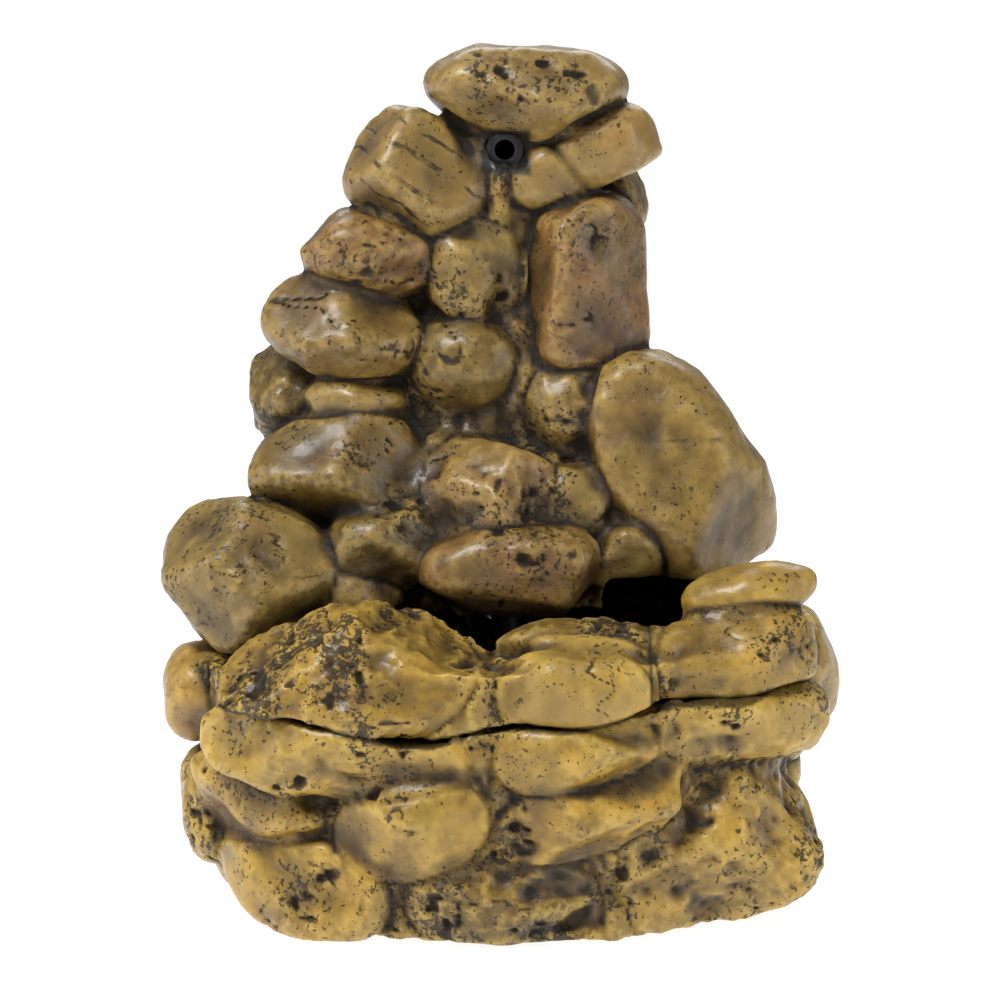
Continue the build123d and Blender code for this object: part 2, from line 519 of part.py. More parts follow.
def volute_cover():
    """The impeller chamber's cup, with its eye, a three-armed bush holder and the nozzle's socket."""
    back = -PUMP_FIT
    front = -CHAMBER_DEPTH - CHAMBER_WALL
    body = rotor_rod(CHAMBER_RADIUS + CHAMBER_WALL, front, back)
    body += rotor_rod(CHAMBER_FLANGE_RADIUS, back - CHAMBER_FLANGE, back)
    body += post(SOCKET_RADIUS, PUMP_X, NOZZLE_Y, AXIS_Z, SOCKET_TOP)
    body -= rotor_rod(CHAMBER_RADIUS, -CHAMBER_DEPTH, 1)
    body -= rotor_rod(EYE_RADIUS, front - 1, 0)
    body += rotor_rod(SPIDER_RADIUS, front, -CHAMBER_DEPTH) + spider_arms(front)
    body -= rotor_rod(BUSH_RADIUS + PUMP_FIT, front - 1, 0)
    body -= rotor_rod(SEAL_RADIUS + SEAL_WIDTH + PUMP_FIT, back - SEAL_DEPTH, 1) - rotor_rod(
        SEAL_RADIUS - PUMP_FIT, -9, 1)  # fmt: skip
    body -= post(NOZZLE_RADIUS + PUMP_FIT, PUMP_X, NOZZLE_Y, NOZZLE_SEAT, SOCKET_TOP + 1)
    body -= post(NOZZLE_BORE, PUMP_X, NOZZLE_Y, AXIS_Z + CHAMBER_RADIUS - 2, SOCKET_TOP)
    return body


def spider_arms(front):
    arm = Pos((EYE_RADIUS + BUSH_RADIUS) / 2 + 0.5, front / 2 - CHAMBER_DEPTH / 2, 0) * Box(
        EYE_RADIUS - BUSH_RADIUS, CHAMBER_WALL, SPIDER_ARM)  # fmt: skip
    return [Pos(PUMP_X, PUMP_SETBACK, AXIS_Z) * Rot(0, 30 + i * 120, 0) * arm for i in range(3)]


def volute_seal():
    ring = rotor_rod(SEAL_RADIUS + SEAL_WIDTH, -SEAL_DEPTH, -PUMP_FIT / 2)
    return ring - rotor_rod(SEAL_RADIUS, -9, 9)


def outlet_nozzle():
    low = NOZZLE_SEAT + PUMP_FIT
    body = post(NOZZLE_RADIUS, PUMP_X, NOZZLE_Y, low, NOZZLE_TOP)
    return body - post(NOZZLE_BORE, PUMP_X, NOZZLE_Y, low - 1, NOZZLE_TOP + 1)


def intake_cover():
    """The slotted box over the impeller chamber, pulled off forward to rinse the foam."""
    back = PUMP_SETBACK - PUMP_GAP
    body = pump_box(PUMP_FRONT, back) - pump_box(PUMP_FRONT + PUMP_WALL, back + 1, PUMP_WALL)
    reach = SOCKET_RADIUS + PUMP_GAP
    body -= block(PUMP_X - reach, PUMP_X + reach, NOZZLE_Y - reach, back + 1, AXIS_Z, PUMP_TOP + 1)
    for i in range(SLOT_COUNT):
        z = PUMP_TOP - 6 - i * SLOT_PITCH
        body -= block(PUMP_X + 1, PUMP_X + PUMP_WIDTH / 2 - 5, PUMP_FRONT - 1, PUMP_FRONT + PUMP_WALL + 1,
                      z - SLOT_WIDTH / 2, z + SLOT_WIDTH / 2)  # fmt: skip
        body -= block(-BIG, BIG, PUMP_FRONT + 5, back - 5, z - SLOT_WIDTH / 2, z + SLOT_WIDTH / 2)
    body -= rod(DIAL_STEM + SHAFT_RUNNING, DIAL_X, DIAL_Z, PUMP_FRONT - 1, PUMP_FRONT + PUMP_WALL + 1)
    inlet = rod(1.6, DIAL_X, DIAL_Z + 4.6, PUMP_FRONT - 1, PUMP_FRONT + PUMP_WALL + 1)
    return body - inlet


def flow_dial():
    """The disc on the intake cover that is turned over the inlet hole, held by a headed stem."""
    face = PUMP_FRONT - DIAL_GAP
    inside = PUMP_FRONT + PUMP_WALL + PUMP_GAP
    body = rod(DIAL_RADIUS, DIAL_X, DIAL_Z, face - DIAL_THICKNESS, face)
    body += rod(DIAL_STEM, DIAL_X, DIAL_Z, face - 0.5, inside + DIAL_HEAD)
    body += rod(DIAL_HEAD_RADIUS, DIAL_X, DIAL_Z, inside, inside + DIAL_HEAD)
    grip = block(DIAL_X - 1, DIAL_X + 1, face - DIAL_THICKNESS - 2, face - 1, DIAL_Z - DIAL_RADIUS + 1,
                 DIAL_Z + DIAL_RADIUS - 1)  # fmt: skip
    body += grip
    return body - rod(1.6, DIAL_X + 4.6, DIAL_Z, face - 20, face + 0.1)


def foam_filter():
    front = PUMP_FRONT + PUMP_WALL + FOAM_STANDOFF
    return pump_box(front, front + FOAM_THICKNESS, PUMP_WALL + PUMP_GAP)


def cup_places():
    side = PUMP_WIDTH / 2 - CUP_FROM_EDGE
    return [(PUMP_X + i * side, y) for i in (-1, 1) for y in (PUMP_SETBACK + CUP_FROM_EDGE, PUMP_BACK - CUP_FROM_EDGE)]


def suction_cups():
    cups = []
    for x, y in cup_places():
        cup = Pos(x, y, FLOOR_TOP) * Cone(CUP_RADIUS, CUP_STEM_RADIUS + 0.6, CUP_HEIGHT - PUMP_FIT, align=LOW)
        cup += post(CUP_STEM_RADIUS, x, y, FLOOR_TOP + 2, PUMP_BOTTOM + CUP_STEM - PUMP_FIT)
        cup -= Pos(x, y, FLOOR_TOP) * Cone(CUP_RADIUS - 0.8, 0.4, CUP_HEIGHT / 2, align=LOW)
        cups.append(cup)
    return Compound(cups)


LOW = (Align.CENTER, Align.CENTER, Align.MIN)

NODES = (
    basin, rubber_feet, rock_cover, cascade_tower, water_hose, spout_grommet, pump_housing, stator_core,
    stator_coil, pump_potting, cable_gland, rotor_magnet, impeller, rotor_shaft, shaft_bush_rear,
    shaft_bush_front, volute_cover, volute_seal, outlet_nozzle, intake_cover, flow_dial, foam_filter,
    suction_cups,
)  # fmt: skip

os.makedirs("parts", exist_ok=True)
for make in NODES:
    shape = make()
    print(make.__name__, shape.is_valid, len(shape.solids()), round(shape.volume))
    export_step(shape, f"parts/{make.__name__}.step")
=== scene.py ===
# %% [markdown]
# # A tabletop rock-cascade fountain
# Three castings look like a pile of river stones: a basin, a rock cover on the front of its rim, and a
# hollow tower that the water runs down. A small pump stands in the basin. This lesson starts from the
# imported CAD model, which fixes every size, and gives each piece the surface and the finish of the real one.

# %% Load the frame
import json
from math import cos, radians, sin

import bpy
import numpy as np
from mathutils import Euler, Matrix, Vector


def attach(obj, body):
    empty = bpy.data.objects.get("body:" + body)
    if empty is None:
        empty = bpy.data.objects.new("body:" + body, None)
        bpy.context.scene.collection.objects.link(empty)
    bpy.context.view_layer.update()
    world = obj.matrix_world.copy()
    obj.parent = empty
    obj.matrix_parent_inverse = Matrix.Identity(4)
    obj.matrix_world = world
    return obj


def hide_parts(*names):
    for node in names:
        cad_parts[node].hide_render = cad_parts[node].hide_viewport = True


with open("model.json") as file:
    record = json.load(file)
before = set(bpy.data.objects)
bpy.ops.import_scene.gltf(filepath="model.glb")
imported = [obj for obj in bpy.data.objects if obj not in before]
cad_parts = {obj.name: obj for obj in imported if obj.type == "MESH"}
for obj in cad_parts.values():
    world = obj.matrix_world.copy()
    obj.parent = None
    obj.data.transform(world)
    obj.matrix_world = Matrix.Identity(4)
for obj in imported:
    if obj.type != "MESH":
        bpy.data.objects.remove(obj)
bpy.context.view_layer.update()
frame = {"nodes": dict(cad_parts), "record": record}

print("nodes:", len(frame["nodes"]))

# %% [markdown]
# ## Where the eye stands
# The camera stands a metre away and looks down by ten degrees, with a long lens so that the stones keep
# their proportions. The light is a studio's: one large soft panel over the front left, a wide weak one on
# the right, one behind the top, and pale surroundings that fill the shadows.

# %% Camera
aim = Vector((0.0, 0.0, 0.1244))
tilt = radians(10)
camera_data = bpy.data.cameras.new("camera")
camera_data.lens, camera_data.sensor_width = 111.6, 36.0
camera = bpy.data.objects.new("camera", camera_data)
camera.location = aim + Vector((0, -cos(tilt), sin(tilt)))
camera.rotation_euler = (aim - camera.location).to_track_quat("-Z", "Y").to_euler()
bpy.context.scene.collection.objects.link(camera)
bpy.context.scene.camera = camera
print("camera at", [round(v, 3) for v in camera.location])


# %% Floor and lights
def plain_material(name, colour, roughness):
    """A material of one colour for the stage only."""
    material = bpy.data.materials.new(name)
    material.use_nodes = True
    shader = material.node_tree.nodes["Principled BSDF"]
    shader.inputs["Base Color"].default_value = (*colour, 1)
    shader.inputs["Roughness"].default_value = roughness
    return material


def sheet_mesh(name, x, y, z):
    """A rectangle from its four corners: x and y are its half-sizes and z its height."""
    mesh = bpy.data.meshes.new(name)
    mesh.from_pydata([(-x, -y, z), (x, -y, z), (x, y, z), (-x, y, z)], [], [(0, 1, 2, 3)])
    thing = bpy.data.objects.new(name, mesh)
    bpy.context.scene.collection.objects.link(thing)
    return thing


def panel_light(name, place, size, power, colour=(1, 1, 1)):
    """A rectangular soft light that faces the middle of the object."""
    data = bpy.data.lights.new(name, "AREA")
    data.shape, data.size, data.size_y = "RECTANGLE", size[0], size[1]
    data.energy, data.color = power, colour
    light = bpy.data.objects.new(name, data)
    light.location = place
    light.rotation_euler = (Vector((0, 0, 0.13)) - Vector(place)).to_track_quat("-Z", "Y").to_euler()
    bpy.context.scene.collection.objects.link(light)
    return light


floor = sheet_mesh("floor", 6.0, 6.0, -0.0002)
floor.data.materials.append(plain_material("pale_floor", (0.42, 0.42, 0.42), 0.8))
floor_shader = floor.data.materials[0].node_tree.nodes["Principled BSDF"]
floor_shader.inputs["Emission Color"].default_value = (1, 1, 1, 1)
floor_shader.inputs["Emission Strength"].default_value = 0.9
floor_shader.inputs["Specular IOR Level"].default_value = 0.1
panel_light("key_panel", (-0.45, -0.55, 1.15), (0.5, 0.4), 13)
panel_light("right_panel", (1.05, -0.45, 0.5), (0.35, 0.9), 3.2)
panel_light("left_panel", (-1.1, -0.2, 0.45), (0.4, 0.8), 2.6)
panel_light("back_panel", (0.1, 0.9, 0.9), (1.0, 0.5), 5)
world = bpy.data.worlds.new("pale_room")
world.use_nodes = True
room = world.node_tree
room.nodes["Background"].inputs["Color"].default_value = (1, 1, 1, 1)
ray = room.nodes.new("ShaderNodeLightPath")
fill = room.nodes.new("ShaderNodeMapRange")
fill.inputs["To Min"].default_value, fill.inputs["To Max"].default_value = 0.22, 1.0
room.links.new(ray.outputs["Is Camera Ray"], fill.inputs["Value"])
room.links.new(fill.outputs[0], room.nodes["Background"].inputs["Strength"])
bpy.context.scene.world = world
bpy.context.scene.view_settings.view_transform = "Standard"

# %% [markdown]
# ## The stones, one by one
# A sculptor pressed each stone from clay, so each has its own size and lie. In the lists below a stone is
# its middle, its three radii and its turn about X, Y and Z, in millimetres and degrees, then four words on
# its looks: how square it is (2 is an egg, more is boxier), how lumpy its skin is in millimetres, how
# pitted it is from 0 to 1, and its paint: y yellow, o olive, p pinkish brown, b brown, g stained dark grey.

# %% Stones of the tower
TOWER_STONES = {
    "cap": ((8, 22, 254.5), (33, 27, 16.0), (0, 2, 0), 2.3, 0.9, 0.6, "b"),
    "crown_left": ((-27, 20, 228), (23, 21, 21), (0, 20, 0), 2.5, 0.9, 0.15, "b"),
    "crown_right": ((33.5, 20, 236), (22, 17, 13), (0, -24, 0), 2.3, 0.6, 0.05, "p"),
    "crown_chock": ((17, 18, 227), (14, 14, 11), (0, 0, 0), 2.5, 0.8, 0.2, "o"),
    "stair_1": ((-42.5, 16, 203), (22.5, 20, 14.5), (0, 10, 0), 2.2, 0.9, 0.35, "p"),
    "stair_2": ((-51, 12, 179.5), (25, 22, 16.5), (0, 12, 0), 2.2, 0.4, 0.05, "b"),
    "stair_3": ((-47.5, 12, 154), (17.5, 18, 11), (0, -4, 0), 2.4, 0.5, 0.1, "o"),
    "stair_back": ((-68.5, 30, 156), (14, 22, 16), (0, 0, 0), 2.3, 1.8, 0.8, "g"),
    "stair_4": ((-53, 1, 134), (28, 24, 18.5), (0, -12, 0), 2.45, 0.8, 0.45, "o"),
    "corner_left": ((-80.6, -16, 102), (27, 27, 24.5), (0, 10, 0), 2.7, 1.3, 0.3, "g"),
    "fall_1": ((-9, 17, 197), (15, 16, 16.5), (0, 0, 0), 2.8, 0.9, 0.45, "o"),
    "fall_2": ((-11, 12, 167), (17, 16, 15.5), (0, 0, 0), 2.1, 0.3, 0.0, "o"),
    "fall_3": ((23, 9, 151.5), (16.5, 16, 16.5), (0, 0, 0), 2.2, 1.2, 0.7, "o"),
    "fall_4": ((-3, -8, 129), (20.5, 19, 16.5), (0, 0, 0), 2.4, 1.0, 0.5, "p"),
    "fall_5": ((4, -20, 105), (30, 19, 14), (0, 0, 0), 2.6, 1.0, 0.5, "p"),
    "fall_6": ((40, -10, 109), (12, 16, 13.5), (0, 0, 0), 2.4, 1.0, 0.4, "o"),
    "fall_7": ((25, -4, 127), (11, 14, 11), (0, 0, 0), 2.3, 1.0, 0.6, "o"),
    "fall_8": ((-37, -12, 113), (18, 18, 15), (0, 0, 0), 2.4, 1.8, 0.8, "g"),
    "fall_9": ((-44, -16, 97), (13, 15, 10), (0, 0, 0), 2.4, 1.4, 0.7, "o"),
    "boulder": ((58.5, 6, 130), (25, 31, 44), (0, -30, 0), 2.25, 0.6, 0.05, "y"),
    "bed_high": ((-3, 24, 205), (17, 14, 36), (0, 0, 0), 2.4, 1.5, 0.6, "o"),
    "bed_mid": ((2, 21, 152), (40, 18, 32), (0, 0, 0), 2.4, 1.5, 0.6, "o"),
    "bed_low": ((2, 6, 110), (50, 20, 34), (0, 0, 0), 2.4, 1.5, 0.6, "o"),
    "flank_high": ((37, 44, 218), (11, 14, 12), (0, 0, 0), 2.4, 1.0, 0.4, "b"),
    "flank_low": ((37, 44, 181), (11, 16, 15), (0, 0, 0), 2.4, 1.0, 0.4, "b"),
    "rear_1": ((-58, 50, 103), (24, 20, 22), (0, 0, -35), 2.5, 1.0, 0.4, "o"),
    "rear_2": ((-18, 66, 101), (25, 16, 20), (0, 8, 0), 2.4, 1.0, 0.3, "b"),
    "rear_3": ((28, 64, 104), (24, 17, 22), (0, -6, 10), 2.6, 1.0, 0.5, "o"),
    "rear_4": ((62, 46, 106), (20, 22, 24), (0, 0, 40), 2.3, 0.8, 0.2, "g"),
    "rear_5": ((-38, 54, 139), (22, 15, 18), (0, 10, -20), 2.3, 0.8, 0.3, "p"),
    "rear_6": ((6, 60, 141), (24, 14, 19), (0, -5, 0), 2.5, 1.0, 0.4, "o"),
    "rear_7": ((44, 48, 147), (18, 17, 18), (0, 0, 25), 2.4, 0.7, 0.2, "b"),
    "rear_8": ((-18, 55, 176), (20, 14, 17), (0, 8, -8), 2.3, 0.8, 0.3, "o"),
    "rear_9": ((18, 54, 182), (19, 13, 19), (0, -10, 8), 2.5, 0.8, 0.3, "p"),
    "rear_10": ((2, 46, 216), (22, 14, 19), (0, 4, 0), 2.4, 0.9, 0.4, "o"),
}
SLAB = ((26.5, 19.5, 192), (18.5, 18.0, 30.0), (0, 3, 27))
SLAB_FLATS = (((0.7, -0.1, 0.72), 29), ((-0.4, -0.3, 0.87), 29), ((-0.5, -0.3, -0.8), 29.5),
              ((0.85, -0.5, 0.1), 20))
# The flats that some stones are known by: each is a direction, and how far from the stone's middle it lies.
FLATS = {
    "cap": (((0.03, 0, 1), 14.6), ((0.42, 0, 0.9), 21), ((-0.6, -0.1, -0.8), 20), ((0.45, -0.2, -0.87), 18),
            ((0.1, -0.8, 0.6), 20), ((-0.25, -0.8, -0.55), 21), ((-0.5, 0, 0.85), 21.5)),
    "boulder": (((0.36, 0, -0.93), 33.5), ((-0.05, -0.96, 0.28), 24.5), ((0.72, -0.66, -0.2), 24.5),
                ((0.5, -0.6, 0.62), 30)),
    "crown_left": (((-0.75, -0.3, 0.6), 18), ((0.25, -0.9, 0.35), 16.5), ((-0.5, -0.6, -0.6), 18),
                   ((0.8, -0.3, 0.5), 18.5)),
    "corner_left": (((-0.55, -0.35, 0.76), 21), ((0.25, -0.75, 0.6), 21.5), ((-0.5, -0.85, -0.2), 22),
                    ((0.5, -0.6, -0.6), 23), ((-0.75, -0.2, -0.6), 23)),
    "rim_left": (((-0.5, -0.4, 0.77), 17), ((0.12, -0.85, 0.5), 16), ((0.45, -0.3, 0.84), 19),
                 ((0.6, -0.75, 0.2), 27), ((-0.5, -0.85, 0), 29)),
    "rim_right": (((-0.1, -0.6, 0.79), 11), ((0.1, -0.98, -0.1), 12.5), ((0.8, -0.5, 0.3), 21)),
    "foot_right": (((-0.35, -0.75, 0.55), 19), ((0.42, -0.85, 0.3), 20), ((0.1, -0.9, -0.42), 17),
                   ((0.75, -0.2, 0.62), 25)),
    "stair_2": (((-0.3, -0.7, 0.64), 16), ((0.4, -0.6, 0.7), 15.5)),
    "stair_4": (((-0.3, -0.7, 0.64), 17.5), ((0.45, -0.8, 0.35), 19.5), ((-0.2, -0.7, -0.68), 16.5)),
    "front_bar": (((0.0, -0.85, -0.5), 14.5), ((-0.5, -0.8, 0.3), 24)),
}
print("tower:", len(TOWER_STONES) + 1, "stones")

# %% Stones of the rock cover and the basin
COVER_STONES = {
    "rim_left": ((-46, -67, 82), (44, 21, 20), (0, -11, 0), 2.6, 2.0, 1.0, "y"),
    "rim_mid": ((23, -73, 80.5), (25, 15, 13.5), (0, -3, 0), 2.3, 0.4, 0.1, "y"),
    "rim_right": ((71, -55, 84), (28, 18, 16), (0, -10, 34), 2.9, 1.8, 0.75, "y"),
    "pebble": ((77, -43, 103), (21, 12, 9.5), (0, -12, 0), 2.05, 0.3, 0.05, "y"),
    "shelf": ((27, -58, 87), (33, 12, 8), (0, -4, 0), 2.4, 1.8, 0.9, "g"),
}
BASIN_STONES = {
    "side_left": ((-95, -10, 64.5), (13.5, 24, 15), (0, 0, 0), 2.4, 0.9, 0.3, "p"),
    "front_bar": ((-46, -69, 60), (44, 18.5, 15), (0, 6, 0), 2.8, 1.2, 0.85, "y"),
    "front_mid": ((21, -74, 60), (27, 14, 14), (0, 0, 0), 2.4, 0.5, 0.15, "y"),
    "front_right": ((72, -57, 67), (31, 16, 13), (0, 0, 32), 2.8, 1.3, 0.8, "y"),
    "side_right": ((95.5, -12, 67), (12, 27, 24), (0, 0, 0), 2.4, 1.0, 0.3, "o"),
    "mid_left": ((-71, -51, 41), (28, 20, 15.5), (0, 6, -30), 2.5, 1.2, 0.8, "y"),
    "egg": ((-25, -71, 38.5), (27, 17, 17), (0, -18, 0), 2.2, 0.4, 0.15, "y"),
    "bar": ((27, -72, 42), (33, 15, 14), (0, -16, 0), 2.6, 0.9, 0.45, "y"),
    "foot_left": ((-57, -57, 15), (31, 22, 19.5), (0, 0, -15), 2.5, 1.2, 0.45, "y"),
    "foot_mid": ((1, -66, 15), (34, 17, 17), (0, 0, 0), 2.7, 1.5, 1.0, "g"),
    "foot_right": ((65, -53, 27), (38, 23, 27), (0, -20, 20), 2.8, 1.6, 0.85, "y"),
    "side_low": ((-87, -20, 31), (14, 30, 19), (0, 0, 0), 2.4, 1.0, 0.5, "o"),
}
BACK_ROWS = (
    (63, ((22, 25, 13, 15), (55, 26, 12, 14), (90, 29, 12.6, 15), (124, 26, 12, 13), (156, 24, 13, 15))),
    (38, ((4, 24, 13, 16), (36, 26, 13, 15), (72, 28, 13, 15), (107, 27, 12, 14), (143, 27, 13, 16))),
    (14, ((-10, 23, 13, 15), (20, 26, 13, 15), (54, 27, 13, 14), (90, 28, 13, 15), (126, 26, 13, 15),
          (160, 24, 13, 14), (190, 22, 13, 14))),
)
RIM = 79.0  # the height of the basin's rim
RIM_X, RIM_Y = 93.0, 80.0  # half the rim's width and depth
paints = "yopybgoyp"
for height, row in BACK_ROWS:
    share = height / RIM
    for bearing, along, out, up in row:
        across, back = RIM_X - 12 + 9 * share, RIM_Y - 11 + 8 * share
        middle = (across * cos(radians(bearing)), back * sin(radians(bearing)), height)
        paint = paints[(bearing + height) % len(paints)]
        stone = (middle, (out, along, up), (0, 0, bearing), 2.4, 1.0, 0.4, paint)
        BASIN_STONES[f"back_{height}_{bearing}"] = stone
print("basin:", len(BASIN_STONES), "stones; cover:", len(COVER_STONES))

# %% [markdown]
# ## Noise: the sculptor's uneven hand
# Everything rough comes from lattice noise, worked out for whole arrays of points at once. It gives a
# random value to each corner of a grid of cubes and blends smoothly between them. A coarse grid makes
# lumps, and where a fine one rises over a level it makes pits. A random number for a corner comes from
# mixing its three whole numbers, so the same corner always gets the same value.


# %% Lattice noise
def hashed(i, j, k, seed):
    """A random number from 0 to 1 for each corner: its three whole numbers are mixed by large factors."""
    h = (i * 374761393 + j * 668265263 + k * 2147483647 + seed * 974711) & 0xFFFFFFFF
    h = ((h ^ (h >> 13)) * 1274126177) & 0xFFFFFFFF
    h = ((h ^ (h >> 16)) * 2246822519) & 0xFFFFFFFF
    return ((h ^ (h >> 15)) & 0xFFFFFF).astype(np.float32) / 16777215.0


def lattice_noise(points, size, seed):
    """Noise from -1 to 1 with lumps of a size in mm: corner values blended by 3t^2 - 2t^3 along each axis."""
    p = points / size
    corner = np.floor(p).astype(np.int64)
    t = (p - corner).astype(np.float32)
    t = t * t * (3 - 2 * t)
    i, j, k = corner[..., 0], corner[..., 1], corner[..., 2]
    total = 0
    for a in (0, 1):
        for b in (0, 1):
            for c in (0, 1):
                weight = (t[..., 0] if a else 1 - t[..., 0]) * (t[..., 1] if b else 1 - t[..., 1])
                total = total + hashed(i + a, j + b, k + c, seed) * weight * (t[..., 2] if c else 1 - t[..., 2])
    return total * 2 - 1


def layered_noise(points, size, layers, seed):
    """Lattice noise added up in layers, each half the size and half the height of the one before."""
    return sum(lattice_noise(points, size / 2**n, seed + n) / 2**n for n in range(layers))


print("noise at the origin:", float(layered_noise(np.zeros((1, 3)), 10, 3, 1)[0]))

# %% [markdown]
# ## From stones to a skin
# A casting is one skin over many stones. It could be joined from separate balls with booleans, but a real
# mould has soft fillets between its stones. So each stone is a distance function: negative inside, zero on
# the skin, positive outside. Two stones are joined by taking the smaller distance, rounded where they are
# nearly equal, and a hollow is taken away by the larger of the one and the negative of the other. The skin
# is then found on a grid of small cubes.


# %% Distance to a stone
def turned(points, middle, turn):
    """Points seen from a stone's own axes: moved to its middle and turned back."""
    about_x, about_y, about_z = (Euler([radians(v) if n == axis else 0 for n, v in enumerate(turn)]).to_matrix()
                                 for axis in range(3))
    matrix = np.array(about_x @ about_y @ about_z, np.float32)
    return (points - np.array(middle, np.float32)) @ matrix


def stone_distance(points, middle, radii, turn, square):
    """Distance to a rounded stone: (sum of |coordinate / radius|^square)^(1/square) - 1, over its steepness."""
    q = turned(points, middle, turn)
    r = np.array(radii, np.float32)
    u = np.abs(q) / r + 1e-4
    total = (u**square).sum(-1) ** (1 / square)
    steep = np.sqrt((((u / total[..., None]) ** (square - 1) / r) ** 2).sum(-1))
    return (total - 1) / steep


def facets(distance, points, middle, radii, turn, number, seed):
    """Flats on a stone: each is a plane in a random direction, a little inside the egg's reach that way."""
    q = turned(points, middle, turn)
    rng = np.random.default_rng(seed)
    for _ in range(number):
        way = rng.normal(size=3).astype(np.float32)
        way /= np.linalg.norm(way)
        reach = np.linalg.norm(np.array(radii) * way) * rng.uniform(0.80, 0.92)
        distance = -join(-distance, reach - q @ way, 2.0)
    return distance


def chosen_flats(distance, points, middle, flats):
    """The flats that a stone is known by: each is a direction, and how far from the stone's middle it lies."""
    q = points - np.array(middle, np.float32)
    for way, reach in flats:
        way = np.array(way, np.float32) / np.linalg.norm(way)
        distance = -join(-distance, reach - q @ way.astype(np.float32), 3.0)
    return distance


def slab_distance(points, middle, half, turn, rounding=4.0):
    """Distance to a box with rounded edges: the length of what lies outside its core, less the rounding."""
    q = np.abs(turned(points, middle, turn)) - (np.array(half, np.float32) - rounding)
    return np.linalg.norm(np.maximum(q, 0), axis=-1) + np.minimum(q.max(-1), 0) - rounding


def join(a, b, soft):
    """The smaller of two distances, rounded over a width: less soft/4 where they are equal."""
    h = np.maximum(soft - np.abs(a - b), 0) / soft
    return np.minimum(a, b) - h * h * soft / 4


def cut(a, b, soft=0.8):
    """What is left of a outside b: the larger of a and minus b, rounded."""
    return -join(-a, b, soft)


# %% Distance to the plain bodies under the stones
# The tower's ovals: height over the rim, middle (x, y), half-sizes (x, y).
TOWER_OUTLINE = np.array([(0, 0, 37, 88, 41), (26, -4, 33, 80, 42), (71, -4, 36, 55, 30), (121, 0, 36, 37, 24),
                          (168, 4, 30, 24, 20)], float)


def oval_distance(x, y, middle_x, middle_y, half_x, half_y):
    """Distance in plan to an oval: its stretched radius less one, times the smaller half-size."""
    stretched = np.sqrt(((x - middle_x) / half_x) ** 2 + ((y - middle_y) / half_y) ** 2)
    return (stretched - 1) * np.minimum(half_x, half_y)


def tower_body(points, shrink):
    """Distance to the tower's tapering oval body, its oval at each height taken between the listed ones."""
    over = points[..., 2] - RIM
    heights, *columns = TOWER_OUTLINE.T
    middle_x, middle_y, half_x, half_y = (np.interp(over, heights, column) for column in columns)
    side = oval_distance(points[..., 0], points[..., 1], middle_x, middle_y, half_x - shrink, half_y - shrink)
    return np.maximum(side * 0.93, over - 168)


def basin_wall(points):
    """Distance to the mass between the basin's stones: a squarish oval that widens upwards."""
    share = points[..., 2] / RIM
    u = np.abs(points[..., 0]) / (RIM_X - 6 + 10 * share)
    v = np.abs(points[..., 1] + 1) / (RIM_Y - 4 + 7 * share)
    return np.maximum(((u**2.5 + v**2.5) ** 0.4 - 1) * (RIM_Y - 4), points[..., 2] - RIM)


BASIN_FLOOR = 9.2


def basin_hollow(points):
    """Distance to the water space, an oval that widens upwards from the floor."""
    over = points[..., 2] - BASIN_FLOOR
    wide = 11.0 * over / (RIM - BASIN_FLOOR)
    side = oval_distance(points[..., 0], points[..., 1], 0, 0, 72 + wide, 59 + wide)
    return np.maximum(side, -over)


# The parting line between basin and rock cover, seen from the front: x, z.
SEAM = np.array([(-110, 73), (-84, 73), (-64, 72), (-47, 69), (-30, 64.5), (-18, 64.5), (-6, 68), (8, 70),
                 (20, 69), (32, 70.5), (46, 74), (60, 74.5), (74, 74), (86, 77), (110, 78)], float)


def front_part(points, gap, grow):
    """Distance to the space of the rock cover: over the parting line, in front of its back edge."""
    x, y, z = points[..., 0], points[..., 1], points[..., 2]
    fine = np.linspace(-110, 110, 221)
    line = np.interp(fine, SEAM[:, 0], SEAM[:, 1])
    line = np.convolve(np.pad(line, 4, "edge"), np.ones(9) / 9, "valid")
    over = (np.interp(x, fine, line) + gap - z) * 0.9
    left = np.maximum(y - (-47 + grow), x - 46)
    right = np.maximum(np.maximum(y - (-31 + grow), 45 - x), x - (98 + grow))
    return np.maximum(np.maximum(over, np.minimum(left, right)), -86 - grow - x)


print("parting line from", SEAM[:, 1].min(), "to", SEAM[:, 1].max(), "mm")


# %% Fields on a grid
def box_distance(points, low, high):
    """Distance to a box given by two corners."""
    low, high = np.array(low, np.float32), np.array(high, np.float32)
    return np.maximum(low - points, points - high).max(-1)


def grid_points(low, high, step):
    """All points of a grid of cubes between two corners, as an array of (x, y, z)."""
    axes = [np.arange(a, b + step, step, dtype=np.float32) for a, b in zip(low, high)]
    return np.stack(np.meshgrid(*axes, indexing="ij"), -1)


def add_stones(field, points, stones, lumps, step, soft=2.2):
    """Joins stones to a field. Each is worked out only in the part of the grid near it."""
    origin = points[0, 0, 0]
    for name, (middle, radii, turn, square, lumpy, pits, paint) in stones.items():
        reach = max(radii) + 8
        first = np.maximum(np.floor((np.array(middle) - reach - origin) / step).astype(int), 0)
        last = np.ceil((np.array(middle) + reach - origin) / step).astype(int)
        near = tuple(slice(a, max(b, a)) for a, b in zip(first, last))
        part = points[near]
        if part.size:
            distance = stone_distance(part, middle, radii, turn, square)
            distance = distance + lumps[near] * (lumpy * 1.5 + 0.4) - 0.6
            flats, seed = int(5 + 6 * (square - 2)), int(abs(middle[0]) * 7 + abs(middle[2]) * 13)
            if name in FLATS:
                distance = chosen_flats(distance, part, middle, FLATS[name])
            elif square > 2.15 and not name.startswith("bed"):
                distance = facets(distance, part, middle, radii, turn, flats, seed)
            field[near] = join(field[near], distance, 5.0 if name[:3] in ("fal", "bed") else soft)
    return field


